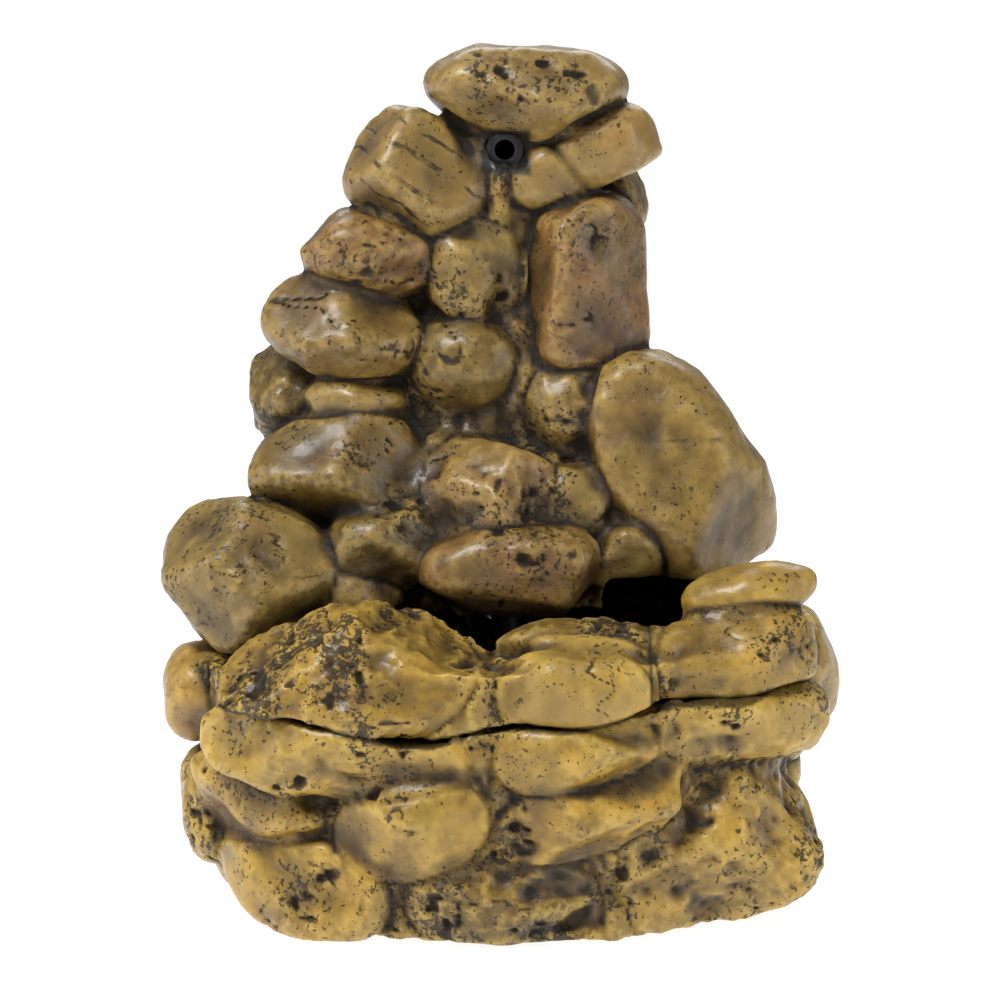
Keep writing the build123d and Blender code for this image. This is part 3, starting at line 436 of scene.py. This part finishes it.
# %% The skin of a field
def skin(field, origin, step):
    """Vertices and quads where a field is zero. Each cube that the skin crosses gets one vertex, at the mean
    of the crossings on its edges. Each grid edge that the skin crosses gets one quad, between the four cubes
    round it."""
    inside = field < 0
    low = tuple(slice(0, n - 1) for n in field.shape)
    counts = np.zeros([n - 1 for n in field.shape], np.int8)
    corners = [(a, b, c) for a in (0, 1) for b in (0, 1) for c in (0, 1)]
    for a, b, c in corners:
        counts += inside[a:a + counts.shape[0], b:b + counts.shape[1], c:c + counts.shape[2]]
    cells = np.argwhere((counts > 0) & (counts < 8))
    index = np.full(counts.shape, -1, np.int64)
    index[tuple(cells.T)] = np.arange(len(cells))
    values = {k: field[cells[:, 0] + k[0], cells[:, 1] + k[1], cells[:, 2] + k[2]] for k in corners}
    total, number = np.zeros((len(cells), 3)), np.zeros(len(cells))
    for one in corners:
        for axis in range(3):
            if one[axis] == 0:
                other = tuple(1 if n == axis else v for n, v in enumerate(one))
                a, b = values[one], values[other]
                crossed = (a < 0) != (b < 0)
                share = np.where(crossed, a / np.where(crossed, a - b, 1), 0)
                spot = np.array(one) + share[:, None] * (np.array(other) - np.array(one))
                total += spot * crossed[:, None]
                number += crossed
    vertices = (cells + total / number[:, None]) * step + origin
    return vertices, np.concatenate([axis_quads(inside, index, axis) for axis in range(3)])


def axis_quads(inside, index, axis):
    """The quads across the grid edges along one axis, turned so that they face outwards."""
    one, two = (axis + 1) % 3, (axis + 2) % 3
    here = [slice(1, -1)] * 3
    here[axis] = slice(0, -1)
    there = list(here)
    there[axis] = slice(1, None)
    first, second = inside[tuple(here)], inside[tuple(there)]
    at = np.argwhere(first != second)
    facing = first[tuple(at.T)]
    start = np.ones(3, int)
    start[axis] = 0
    at = at + start
    step_one, step_two = np.eye(3, dtype=int)[one], np.eye(3, dtype=int)[two]
    ring = [at - step_one - step_two, at - step_two, at, at - step_one]
    quads = np.stack([index[tuple(r.T)] for r in ring], 1)
    quads[~facing] = quads[~facing][:, ::-1]
    return quads


# %% [markdown]
# ## The three castings as fields
# Each casting is its plain body, then its stones, then what is cut away: the water space, the parting line,
# the slot under the cascade and the small recess that the water leaves from. A field is the distance to the
# surface at every point of a grid, negative inside, so joining and cutting are only the smaller and the
# larger of two numbers.


# %% Tower field
SPOUT_X, SPOUT_Z, SPOUT_RADIUS = 1.5, 236, 6.05  # the hole that the hose ends in
RECESS = (5.8, 51.5, 4.7)  # half-sizes of the recess in front of that hole
LIP = (76.5, 63.5)  # half-sizes of the oval inside the locating lip
LIP_WALL, LIP_FRONT = 4.0, 26  # the lip runs only behind y = 26
SLOT_LEFT, SLOT_STEP, SLOT_BACK = -57, 34, 16  # the slot under the cascade: its ends in x, and how deep it goes
SLOT_LOW, SLOT_HIGH = 10.5, 23  # its height over the rim, left and right of the step
NOTCH = 4  # half the width of the cord's notch


def tower_field(points, lumps, step):
    """The tower: body and stones, flat underneath, hollow, with its locating lip and the spout's recess."""
    x, y, z = points[..., 0], points[..., 1], points[..., 2]
    field = tower_body(points, 0).astype(np.float32) + lumps * 1.2
    field = add_stones(field, points, TOWER_STONES, lumps, step)
    slab = slab_distance(points, *SLAB) + lumps * 0.8
    slab = chosen_flats(slab, points, SLAB[0], SLAB_FLATS)
    field = join(field, slab, 1.5)
    field = cut(field, z - (RIM + 0.3))
    slot = np.maximum(y - SLOT_BACK, z - np.where(x > SLOT_STEP, RIM + SLOT_HIGH, RIM + SLOT_LOW))
    slot = np.maximum(slot, SLOT_LEFT - x)
    field = cut(field, slot, 1.5)
    field = cut(field, tower_body(points, 9), 1.0)
    within_lip = oval_distance(x, y, 0, 0, *LIP)
    lip = np.maximum(oval_distance(x, y, 0, 0, LIP[0] + LIP_WALL, LIP[1] + LIP_WALL), -within_lip)
    lip = np.maximum(np.maximum(lip, np.abs(z - 78.2) - 5.0), LIP_FRONT - y)
    ledge = np.maximum(tower_body(points, 4.5), -within_lip)
    ledge = np.maximum(np.maximum(ledge, np.abs(z - 81.3) - 1.9), LIP_FRONT - y)
    field = np.minimum(field, np.minimum(lip, ledge))
    recess = slab_distance(points, (SPOUT_X, -38.5, SPOUT_Z), RECESS, (0, 0, 0), 3.5) + lumps * 0.8
    field = cut(field, recess, 2.5)
    hose_hole = np.maximum(np.hypot(x - SPOUT_X, z - SPOUT_Z) - SPOUT_RADIUS, np.abs(y - 24) - 12)
    notch = np.maximum(np.maximum(np.abs(x) - NOTCH, np.abs(z - 75.5) - 4.5), -y)
    return cut(cut(field, hose_hole, 0.5), notch, 0.6)


# %% Cover field and basin field
COVER_INSIDE, COVER_CEILING = (83, 70), 83  # half-sizes of the space under the cover, and its height
FOOT_RING, FOOT_RING_TOP = (89, 81), 5.2  # half-sizes of the ring that the basin stands on, and its height
PADS = [(x, y) for x in (-60, 60) for y in (-47, 47)]  # the four rubber feet
PAD_RADIUS, PAD_DEPTH = 6.6, 2.4  # their seats in the basin
NOTCH_BOTTOM = 71


def cover_field(points, lumps, step):
    """The rock cover: a flat-backed crescent and its stones, over the parting line, hollow underneath."""
    x, y, z = points[..., 0], points[..., 1], points[..., 2]
    field = np.maximum(oval_distance(x, y, 0, 0, RIM_X + 3, RIM_Y + 3), z - 86).astype(np.float32) + lumps * 1.2
    field = add_stones(field, points, COVER_STONES, lumps, step, 3.0)
    field = -join(-field, -front_part(points, 0.9, 0), 1.2)
    hollow = np.maximum(oval_distance(x, y, 0, 0, *COVER_INSIDE), z - COVER_CEILING)
    return cut(field, hollow, 1.0)


def basin_field(points, lumps, step):
    """The basin: wall, foot ring and stones, less the water space, the parting line and the cord's notch."""
    x, y, z = points[..., 0], points[..., 1], points[..., 2]
    field = basin_wall(points).astype(np.float32) + lumps * 1.2
    foot_ring = np.maximum(oval_distance(x, y, 0, 0, *FOOT_RING), z - FOOT_RING_TOP) + lumps * 0.6
    field = join(field, foot_ring, 2.0)
    high = {"side_right": BASIN_STONES["side_right"]}
    rest = {name: stone for name, stone in BASIN_STONES.items() if name != "side_right"}
    field = add_stones(field, points, rest, lumps, step, 3.0)
    field = -join(-field, -np.where(y > -47, z - RIM, -9), 0.8)
    field = add_stones(field, points, high, lumps, step)
    field = cut(field, basin_hollow(points), 1.0)
    field = cut(field, front_part(points, 0, 1.0), 1.2)
    notch = np.maximum(np.maximum(np.abs(x) - NOTCH, NOTCH_BOTTOM - z), -y)
    field = cut(field, notch, 1.5)
    for pad_x, pad_y in PADS:
        pad = np.maximum(np.hypot(x - pad_x, y - pad_y) - PAD_RADIUS, z - PAD_DEPTH)
        field = cut(field, pad, 0.3)
    return -join(-field, z - 1.2, 0.8)


# %% [markdown]
# ## Surface detail and paint
# The caster's detail is finer than the grid: pits, cracks and a sandy skin. Each vertex moves along its
# normal by noise whose height depends on the stone it lies on. The paint follows the same numbers: dark
# wash in the pits, dark wash with painted shade between the stones and in the hollows, pale dry-brush with
# painted highlights on the ridges, and each stone in its own tint. They are kept as point attributes that
# the material reads.


# %% Vertex normals and hollowness
def vertex_normals(vertices, quads):
    """Normals from the quads' two diagonals crossed, added up at each vertex and made one long."""
    a, b, c, d = (vertices[quads[:, n]] for n in range(4))
    face = np.cross(c - a, d - b)
    normal = [np.bincount(quads.ravel(), np.repeat(face[:, n], 4), len(vertices)) for n in range(3)]
    normal = np.stack(normal, 1)
    return normal / np.maximum(np.linalg.norm(normal, axis=1, keepdims=True), 1e-9)


def neighbour_mean(values, quads):
    """Mean of the values at the vertices that share an edge with each vertex."""
    pairs = np.concatenate([quads[:, [n, (n + 1) % 4]] for n in range(4)])
    pairs = np.concatenate([pairs, pairs[:, ::-1]])
    number = np.bincount(pairs[:, 0], minlength=len(values))[:, None]
    columns = values.reshape(len(values), -1)
    mean = [np.bincount(pairs[:, 0], columns[pairs[:, 1], n], len(values)) for n in range(columns.shape[1])]
    mean = np.stack(mean, 1)
    return (mean / np.maximum(number, 1)).reshape(values.shape)


def hollowness(vertices, quads, rounds):
    """How sunk each vertex is: its smoothed neighbourhood's height over it along the normal, in mm."""
    smooth = vertices
    for _ in range(rounds):
        smooth = neighbour_mean(smooth, quads)
    return ((smooth - vertices) * vertex_normals(vertices, quads)).sum(1)


# %% Detail of a casting
PAINTS = {"y": 0.0, "o": 0.25, "p": 0.5, "b": 0.75, "g": 1.0}
STREAKED = {"crown_left": 1.0, "slab": 0.25}  # the stones with slanting dark streaks
STAR_X, STAR_Z = 31, 209  # the star-shaped crack in the slab's upper right


def step_between(low, high, values):
    """0 below low, 1 above high, and 3t^2 - 2t^3 between."""
    t = np.clip((values - low) / (high - low), 0, 1)
    return t * t * (3 - 2 * t)


def detail(vertices, quads, stones, body):
    """Moves the vertices by pits, cracks and grain, and returns them with the numbers that the paint needs."""
    p = vertices.astype(np.float32)
    distances = np.stack([stone_distance(p, *s[:4]) for s in stones.values()] + [body(p)])
    order = np.argsort(distances, axis=0)[:2]
    nearest = order[0]
    gap = np.take_along_axis(distances, order[1:2], 0)[0] - np.take_along_axis(distances, order[:1], 0)[0]
    open_skin = step_between(0.3, 3.0, gap)
    lumpy = np.array([s[4] for s in stones.values()] + [1.5])[nearest]
    pitted = np.array([s[5] for s in stones.values()] + [0.75])[nearest]
    beds = [n for n, name in enumerate(stones) if name.startswith("bed")]
    matrix = np.isin(nearest, beds + [len(stones)]).astype(float)
    patchy = step_between(-0.25, 0.45, layered_noise(p, 16, 2, 40)) * 0.8 + 0.2
    strength = pitted * patchy
    hole = np.maximum(layered_noise(p, 4.2, 2, 90), layered_noise(p, 7.5, 3, 95) - 0.16)
    pit = step_between(0.38, 0.95, hole + 0.3 * (strength * open_skin - 0.6)) * step_between(0.1, 0.5, strength)
    wander = np.abs(layered_noise(p * np.array([1, 1, 1.9], np.float32), 21, 3, 60))
    crack = (1 - step_between(0.0, 0.07, wander)) * step_between(0.1, 0.6, lattice_noise(p, 30, 77)) * open_skin
    across, up = p[:, 0] - STAR_X, p[:, 2] - STAR_Z
    arms = np.abs(np.sin(1.5 * np.arctan2(up, across) + 1.3 * lattice_noise(p, 5, 71)))
    away = np.hypot(across, up) + 2.5 * lattice_noise(p, 4, 73)
    thin, short = 1 - step_between(0.10, 0.32, arms * away / 6), 1 - step_between(2, 9, away)
    star = thin * short * 0.8 * (p[:, 1] < 22)
    crack = np.maximum(crack, star * (nearest == list(stones).index("slab")) if "slab" in stones else 0)
    dents = layered_noise(p, 15, 3, 50)
    chipped = step_between(-0.1, 0.5, layered_noise(p, 26, 1, 58) + pitted - 0.4)
    chips = (0.35 - np.abs(layered_noise(p, 9, 3, 55))) * 1.3 * chipped
    height = (dents + chips * np.clip(lumpy - 0.3, 0, 1.2)) * open_skin
    height = height + layered_noise(p, 5.0, 2, 20) * (0.05 + 0.25 * strength) * open_skin
    height = height - pit * 1.3 - crack * 0.7 - (1 - step_between(0.0, 1.6, gap)) * 0.5 * (1 - matrix)
    flow = p * np.array([1.5, 1.5, 0.8], np.float32)
    height = height + matrix * (np.abs(layered_noise(flow, 13, 3, 30)) * 2.2 - 0.9)
    moved = vertices + vertex_normals(vertices, quads) * height[:, None]
    looks = dict(pit=pit, crack=crack, seam=1 - step_between(0.0, 1.8, gap), pitted=strength)
    return moved, dict(looks, nearest=nearest)


# %% Build a casting
def stone_numbers(stones, nearest, read, plain):
    """One number per vertex, read from the stone that it lies on, or the plain one on the body between."""
    return np.array([read(name, s) for name, s in stones.items()] + [plain])[nearest]


LOWEST = 1.0  # nothing of a casting comes lower than this, because the feet carry it


def casting(name, low, high, step, make_field, stones, body, node, ride):
    """Makes a casting: field, skin, detail and paint numbers, in a mesh that stands for its CAD node."""
    points = grid_points(low, high, step)
    coarse = points[::3, ::3, ::3]
    rough = layered_noise(coarse.reshape(-1, 3), 22, 2, 5).reshape(coarse.shape[:-1])
    for axis in range(3):
        spots = np.arange(points.shape[axis]) / 3
        first = np.minimum(spots.astype(int), rough.shape[axis] - 1)
        second = np.minimum(first + 1, rough.shape[axis] - 1)
        share = (spots - first).reshape([-1 if n == axis else 1 for n in range(3)])
        rough = np.take(rough, first, axis) * (1 - share) + np.take(rough, second, axis) * share
    lumps = rough.astype(np.float32)
    field = make_field(points, lumps, step)
    vertices, quads = skin(field, points[0, 0, 0], step)
    vertices = vertices * 0.5 + neighbour_mean(vertices, quads) * 0.5
    vertices, looks = detail(vertices, quads, stones, body)
    vertices[:, 2] = np.maximum(vertices[:, 2], LOWEST)
    deep = hollowness(vertices, quads, 8)
    fine = hollowness(vertices, quads, 2)
    nearest = looks.pop("nearest")
    broad = hollowness(vertices, quads, 30)
    # hollow, dome and ridge feed the paint: dark wash with painted shade in hollows and off the domes, pale
    # paint with painted highlights on ridges
    looks["hollow"] = step_between(0.02, 0.9, deep)
    looks["dome"] = step_between(-1.2, 1.6, -broad)
    looks["ridge"] = step_between(0.05, 0.6, -deep) * 0.7 + step_between(0.02, 0.2, -fine) * 0.3
    looks["paint"] = stone_numbers(stones, nearest, lambda n, s: PAINTS[s[6]], 0.25)
    looks["shade"] = stone_numbers(stones, nearest, lambda n, s: (sum(map(ord, n)) * 37 % 101) / 100, 0.5)
    looks["streak"] = stone_numbers(stones, nearest, lambda n, s: STREAKED.get(n, 0.0), 0.0)
    # near-black painted shade inside the castings, in the parting line's gap and in the spout's recess
    looks["painted_inside_shade"] = inside_shade_paint(vertices)
    return casting_object(name, vertices, quads, looks, node, ride)


def inside_shade_paint(vertices):
    """1 where near-black paint stands for painted shade: in the water space, the tower's hollow, the space
    under the cover, the spout's recess and the parting line's gap, each a little larger than it is cut. 0
    outside."""
    p = vertices.astype(np.float32)
    water = np.maximum(basin_hollow(p), p[:, 2] - RIM + 1.0)
    hollow = np.maximum(tower_body(p, 8.0), RIM - p[:, 2])
    under = np.maximum(np.maximum(oval_distance(p[:, 0], p[:, 1], 0, 0, 84, 71), p[:, 2] - 84), 60 - p[:, 2])
    # the spout's recess under the cap and the parting line's gap get near-black painted shade
    spout = box_distance(p, (-4.8, 4, 230.5), (7.8, 40, 241))
    parting = np.abs(front_part(p, 0.45, 0.5)) - 0.75
    least = np.minimum(np.minimum(np.minimum(water, hollow), under), spout)
    return np.maximum(1 - step_between(0.8, 3.2, least), (1 - step_between(0.0, 0.5, parting)) * 0.85)


def casting_object(name, vertices, quads, looks, node, ride):
    """Puts vertices, quads and point attributes into a mesh object that stands for its CAD node."""
    mesh = bpy.data.meshes.new(name)
    mesh.vertices.add(len(vertices))
    mesh.vertices.foreach_set("co", (vertices / 1000).astype(np.float32).ravel())
    mesh.loops.add(quads.size)
    mesh.loops.foreach_set("vertex_index", quads.astype(np.int32).ravel())
    mesh.polygons.add(len(quads))
    mesh.polygons.foreach_set("loop_start", np.arange(0, quads.size, 4, dtype=np.int32))
    mesh.update(calc_edges=True)
    mesh.polygons.foreach_set("use_smooth", np.ones(len(quads), bool))
    for key, values in looks.items():
        layer = mesh.attributes.new(key, "FLOAT", "POINT")
        layer.data.foreach_set("value", np.asarray(values, np.float32))
    piece = bpy.data.objects.new(name, mesh)
    bpy.context.scene.collection.objects.link(piece)
    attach(piece, ride)
    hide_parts(node)
    print(name, len(vertices), "vertices,", 2 * len(quads), "triangles")
    return piece


TOWER_STEP, COVER_STEP, BASIN_STEP = 1.45, 0.9, 1.35  # the grids' cubes, in mm
tower = casting("tower_casting", (-112, -48, 69), (94, 88, 274), TOWER_STEP, tower_field,
                {**TOWER_STONES, "slab": (*SLAB, 5, 0.7, 0.15, "p")},
                lambda p: tower_body(p, 0), "cascade_tower", "tower")
cover = casting("cover_casting", (-90, -93, 60), (102, -26, 117), COVER_STEP, cover_field, COVER_STONES,
                lambda p: np.maximum(oval_distance(p[:, 0], p[:, 1], 0, 0, RIM_X, RIM_Y), p[:, 2] - 90),
                "rock_cover", "front_cover")
basin = casting("basin_casting", (-112, -93, -2), (112, 93, 96), BASIN_STEP, basin_field, BASIN_STONES,
                lambda p: basin_wall(p), "basin", "base")

# %% [markdown]
# ## The finish of the castings
# The resin is painted in layers: a base tint for each stone, a mottled wash, dark wash with painted shade
# wiped into every hollow and off the crowns of the stones, pits stippled nearly black, ridges brushed pale
# with painted highlights, near-black painted shade inside and in the gaps, and a satin varnish over it all.
# The same layers are mixed here, from the point attributes and from noise on Object coordinates, and finer
# pits and grain come as bump.


# %% Node helpers
def new_material(name):
    """An empty node material with its shader: returns the material, its tree and the shader."""
    material = bpy.data.materials.new(name)
    material.use_nodes = True
    return material, material.node_tree, material.node_tree.nodes["Principled BSDF"]


def node(tree, kind, values=None, links=None, **settings):
    """A node with its settings, its input values, and links from other nodes' sockets."""
    made = tree.nodes.new(kind)
    for key, value in settings.items():
        setattr(made, key, value)
    for key, value in (values or {}).items():
        made.inputs[key].default_value = value
    for key, socket in (links or {}).items():
        tree.links.new(socket, made.inputs[key])
    return made


def noise(tree, scale, detail_level=4.0, roughness=0.55, distortion=0.0, stretch=(1, 1, 1)):
    """Noise on Object coordinates, from 0 to 1, its scale in lumps per metre."""
    where = node(tree, "ShaderNodeTexCoord").outputs["Object"]
    placed = node(tree, "ShaderNodeMapping", {"Scale": stretch}, {"Vector": where}).outputs[0]
    values = {"Scale": scale, "Detail": detail_level, "Roughness": roughness, "Distortion": distortion}
    return node(tree, "ShaderNodeTexNoise", values, {"Vector": placed}).outputs["Fac"]


def ramp(tree, fac, low, high, bottom=0.0, top=1.0):
    """A smooth step of fac between low and high, from bottom to top."""
    values = {"From Min": low, "From Max": high, "To Min": bottom, "To Max": top}
    made = node(tree, "ShaderNodeMapRange", values, {"Value": fac}, interpolation_type="SMOOTHSTEP")
    return made.outputs[0]


def sums(tree, operation, a, b):
    """One step of arithmetic on two numbers or sockets."""
    made = node(tree, "ShaderNodeMath", operation=operation)
    for n, value in enumerate((a, b)):
        if isinstance(value, (int, float)):
            made.inputs[n].default_value = value
        else:
            tree.links.new(value, made.inputs[n])
    return made.outputs[0]


def blend(tree, fac, a, b, kind="MIX"):
    """Two colours mixed by fac; each is a socket or three numbers."""
    made = node(tree, "ShaderNodeMix", data_type="RGBA", blend_type=kind)
    for key, value in ((0, fac), (6, a), (7, b)):
        if isinstance(value, (int, float)):
            made.inputs[key].default_value = value
        elif isinstance(value, tuple):
            made.inputs[key].default_value = (*value, 1)
        else:
            tree.links.new(value, made.inputs[key])
    return made.outputs[2]


def attribute(tree, name):
    """A point attribute's number."""
    return node(tree, "ShaderNodeAttribute", attribute_name=name).outputs["Fac"]


def colour(red, green, blue):
    """A paint chip's 0 to 255 values as the linear numbers that the shader takes."""
    return tuple(((v / 255 + 0.055) / 1.055) ** 2.4 for v in (red, green, blue))


# %% Painted resin
def painted_resin(name, yellow, olive, pink, brown, brown_dark, stained, dark_wash_and_shade, pale):
    """The castings' finish. The paint attribute picks each stone's tint; pits and a dark wash darken it, the
    wash also as painted shade in hollows and between stones; pale paint with painted highlights lightens the
    ridges.
    """
    material, tree, shader = new_material(name)
    paint, shade = attribute(tree, "paint"), attribute(tree, "shade")
    mottle = noise(tree, 55, 5, 0.6)
    tint = blend(tree, ramp(tree, paint, 0.05, 0.2), yellow, olive)
    tint = blend(tree, ramp(tree, paint, 0.3, 0.45), tint, pink)
    tint = blend(tree, ramp(tree, paint, 0.55, 0.7), tint, brown)
    tint = blend(tree, ramp(tree, paint, 0.8, 0.95), tint, olive)
    tint = blend(tree, ramp(tree, mottle, 0.38, 0.66, 0.1, 0.85), tint, olive)
    tint = blend(tree, ramp(tree, noise(tree, 38, 3), 0.48, 0.68, 0.0, 0.7), tint, brown)
    tint = blend(tree, ramp(tree, noise(tree, 210, 5, 0.65), 0.45, 0.66, 0.0, 0.45), tint, brown_dark)
    tint = blend(tree, ramp(tree, shade, 0.0, 1.0, 0.0, 0.3), tint, pale)
    sunk = attribute(tree, "hollow")
    # painted shade with a dark wash: darker brown wherever the surface is not a stone's broad crown
    low_part = ramp(tree, attribute(tree, "dome"), 0.1, 0.75, 1.0, 0.0)
    off_crown_wash_and_shade = sums(tree, "MULTIPLY", low_part, ramp(tree, noise(tree, 70, 4, 0.6), 0.3, 0.65, 0.35, 0.95))
    tint = blend(tree, off_crown_wash_and_shade, tint, brown_dark)
    grey_stone, blotches = ramp(tree, paint, 0.8, 0.95), ramp(tree, noise(tree, 48, 6, 0.7), 0.46, 0.6)
    stain_place = sums(tree, "MULTIPLY", grey_stone, blotches)
    tint = blend(tree, sums(tree, "MULTIPLY", stain_place, 0.45), tint, stained)
    # pale dry-brush with painted highlights: the ridges and sharp edges of the stones are lightened
    ridge_brush_and_highlight = sums(tree, "MULTIPLY", attribute(tree, "ridge"), ramp(tree, noise(tree, 300, 3), 0.35, 0.6))
    tint = blend(tree, sums(tree, "MULTIPLY", ridge_brush_and_highlight, 0.5), tint, pale)
    # dark wash with painted shade, patchy, in the hollows
    uneven = ramp(tree, noise(tree, 120, 4, 0.6), 0.3, 0.6, 0.45, 0.95)
    washed_and_shaded = sums(tree, "MULTIPLY", ramp(tree, sunk, 0.1, 0.9), uneven)
    tint = blend(tree, washed_and_shaded, tint, dark_wash_and_shade)
    patches = ramp(tree, noise(tree, 60, 4, 0.6), 0.42, 0.66, -0.25, 0.35)
    rough_here = sums(tree, "ADD", attribute(tree, "pitted"), patches)
    fine_holes = sums(tree, "ADD", noise(tree, 620, 3, 0.6), sums(tree, "MULTIPLY", rough_here, 0.15))
    large_holes = sums(tree, "ADD", noise(tree, 330, 4, 0.62), sums(tree, "MULTIPLY", rough_here, 0.13))
    holes = sums(tree, "MAXIMUM", ramp(tree, fine_holes, 0.66, 0.70), ramp(tree, large_holes, 0.68, 0.72))
    pits, cracks = ramp(tree, attribute(tree, "pit"), 0.25, 0.8), ramp(tree, attribute(tree, "crack"), 0.3, 0.9)
    lines = sums(tree, "MAXIMUM", pits, cracks)
    where = node(tree, "ShaderNodeTexCoord").outputs["Object"]
    slanted = node(tree, "ShaderNodeMapping", {"Rotation": (0, radians(-32), 0)}, {"Vector": where}).outputs[0]
    wave = {"Scale": 42.0, "Distortion": 5.0, "Detail": 3.0, "Detail Scale": 1.2}
    wave = node(tree, "ShaderNodeTexWave", wave, {"Vector": slanted}, bands_direction="Z").outputs["Fac"]
    streaks = sums(tree, "MULTIPLY", ramp(tree, wave, 0.90, 0.98), attribute(tree, "streak"))
    streaks = sums(tree, "MULTIPLY", streaks, ramp(tree, noise(tree, 90, 3), 0.45, 0.6))
    lines = sums(tree, "MAXIMUM", lines, streaks)
    freckles = sums(tree, "MAXIMUM", lines, holes)
    tint = blend(tree, sums(tree, "MULTIPLY", freckles, 0.85), tint, dark_wash_and_shade)
    # dark wash with painted shade in the sunk seams between the stones
    seam_wash_and_shade = sums(tree, "MULTIPLY", attribute(tree, "seam"), sunk)
    seam_wash_and_shade = sums(tree, "MULTIPLY", seam_wash_and_shade, ramp(tree, noise(tree, 90, 4), 0.38, 0.6, 0.1, 0.9))
    tint = blend(tree, seam_wash_and_shade, tint, dark_wash_and_shade)
    # near-black painted shade inside the castings, in the parting line's gap and in the spout's recess
    tint = blend(tree, attribute(tree, "painted_inside_shade"), tint, (0.012, 0.009, 0.006))
    tree.links.new(tint, shader.inputs["Base Color"])
    rough = ramp(tree, noise(tree, 180, 3), 0.3, 0.7, 0.36, 0.52)
    rough = sums(tree, "ADD", rough, sums(tree, "MULTIPLY", lines, 0.25))
    dirt = sums(tree, "MAXIMUM", attribute(tree, "seam"), sunk)
    rough = sums(tree, "ADD", rough, sums(tree, "MULTIPLY", dirt, 0.3))
    tree.links.new(rough, shader.inputs["Roughness"])
    shader.inputs["Specular IOR Level"].default_value = 0.4
    tree.links.new(ramp(tree, dirt, 0.0, 0.5, 0.3, 0.0), shader.inputs["Coat Weight"])
    shader.inputs["Coat Roughness"].default_value = 0.22
    rough_skin = ramp(tree, attribute(tree, "pitted"), 0.0, 0.7, 0.35, 1.0)
    height = sums(tree, "MULTIPLY", noise(tree, 260, 5, 0.62), rough_skin)
    height = sums(tree, "ADD", height, sums(tree, "MULTIPLY", noise(tree, 900, 3), 0.12))
    height = sums(tree, "SUBTRACT", height, sums(tree, "MULTIPLY", freckles, 0.6))
    bump = node(tree, "ShaderNodeBump", {"Strength": 0.9, "Distance": 0.0011}, {"Height": height})
    tree.links.new(bump.outputs[0], shader.inputs["Normal"])
    return material


# colours in order: yellow, olive, pink, brown, dark brown (also painted shade off the crowns), stained, dark
# wash (also painted shade in hollows and seams), pale (also painted highlights on ridges)
tower_finish = painted_resin("tower_resin", colour(146, 116, 50), colour(103, 82, 34), colour(134, 93, 50),
                             colour(96, 67, 29), colour(56, 39, 16), colour(34, 27, 14), colour(20, 13, 6),
                             colour(182, 152, 84))
basin_finish = painted_resin("basin_resin", colour(182, 142, 50), colour(128, 101, 38), colour(160, 114, 52),
                             colour(106, 77, 31), colour(66, 47, 18), colour(36, 28, 15), colour(22, 15, 7),
                             colour(216, 182, 92))
tower.data.materials.append(tower_finish)
cover.data.materials.append(basin_finish)
basin.data.materials.append(basin_finish)


# %% [markdown]
# ## The pump and the small parts
# These keep their CAD shape, and only get a finish: moulded plastic with a fine spark-eroded grain, soft
# black rubber, a black vinyl hose, laminated iron, wound copper, open-cell foam.


# %% Finishes for the CAD parts
def moulded(name, tone, grain=2500, rough=0.45, depth=0.00005, see_through=0.0, metal=0.0, stretch=(1, 1, 1)):
    """A moulded or machined finish: a tint that wanders a little, and a fine grain in gloss and bump."""
    material, tree, shader = new_material(name)
    lighter = tuple(min(v * 1.5 + 0.01, 1) for v in tone)
    tint = blend(tree, ramp(tree, noise(tree, 120, 4), 0.35, 0.7), tone, lighter)
    tree.links.new(tint, shader.inputs["Base Color"])
    gloss = ramp(tree, noise(tree, 400, 3), 0.3, 0.7, rough - 0.07, rough + 0.08)
    tree.links.new(gloss, shader.inputs["Roughness"])
    shader.inputs["Metallic"].default_value = metal
    shader.inputs["Transmission Weight"].default_value = see_through
    height = noise(tree, grain, 3, 0.6, 0, stretch)
    bump = node(tree, "ShaderNodeBump", {"Strength": 0.5, "Distance": depth}, {"Height": height})
    tree.links.new(bump.outputs[0], shader.inputs["Normal"])
    return material


SHEETS, WINDINGS = (0.05, 0.05, 6), (6, 0.1, 0.1)  # how the grain is stretched on stacked sheets and on wire
FINISHES = {
    "black_rubber": moulded("soft_rubber", (0.02, 0.02, 0.02), 1800, 0.7),
    "black_hose": moulded("black_vinyl", (0.015, 0.015, 0.015), 900, 0.4),
    "pump_plastic": moulded("pump_black", (0.022, 0.022, 0.025), 2600, 0.42),
    "laminated_iron": moulded("iron_stack", (0.30, 0.30, 0.31), 500, 0.4, 0.0002, metal=0.9, stretch=SHEETS),
    "copper_wire": moulded("wound_copper", (0.60, 0.25, 0.10), 500, 0.3, 0.0003, metal=0.9, stretch=WINDINGS),
    "potting_resin": moulded("potting", (0.03, 0.03, 0.035), 300, 0.2),
    "ferrite": moulded("ferrite", (0.06, 0.06, 0.065), 1500, 0.55),
    "white_plastic": moulded("white_moulding", (0.78, 0.78, 0.75), 2500, 0.35),
    "white_ceramic": moulded("ceramic", (0.82, 0.81, 0.77), 3000, 0.15),
    "dial_plastic": moulded("blue_moulding", (0.05, 0.15, 0.36), 2400, 0.35),
    "foam": moulded("open_foam", (0.045, 0.045, 0.05), 900, 0.95, 0.0012),
    "clear_rubber": moulded("grey_rubber", (0.38, 0.40, 0.39), 1500, 0.4, see_through=0.3),
}
slots = {part["node"]: part["material_slot"] for part in frame["record"]["subparts"]}
finished = 0
for name, thing in frame["nodes"].items():
    if slots.get(name) in FINISHES:
        thing.data.materials.clear()
        thing.data.materials.append(FINISHES[slots[name]])
        finished += 1
print("finished", finished, "CAD parts")
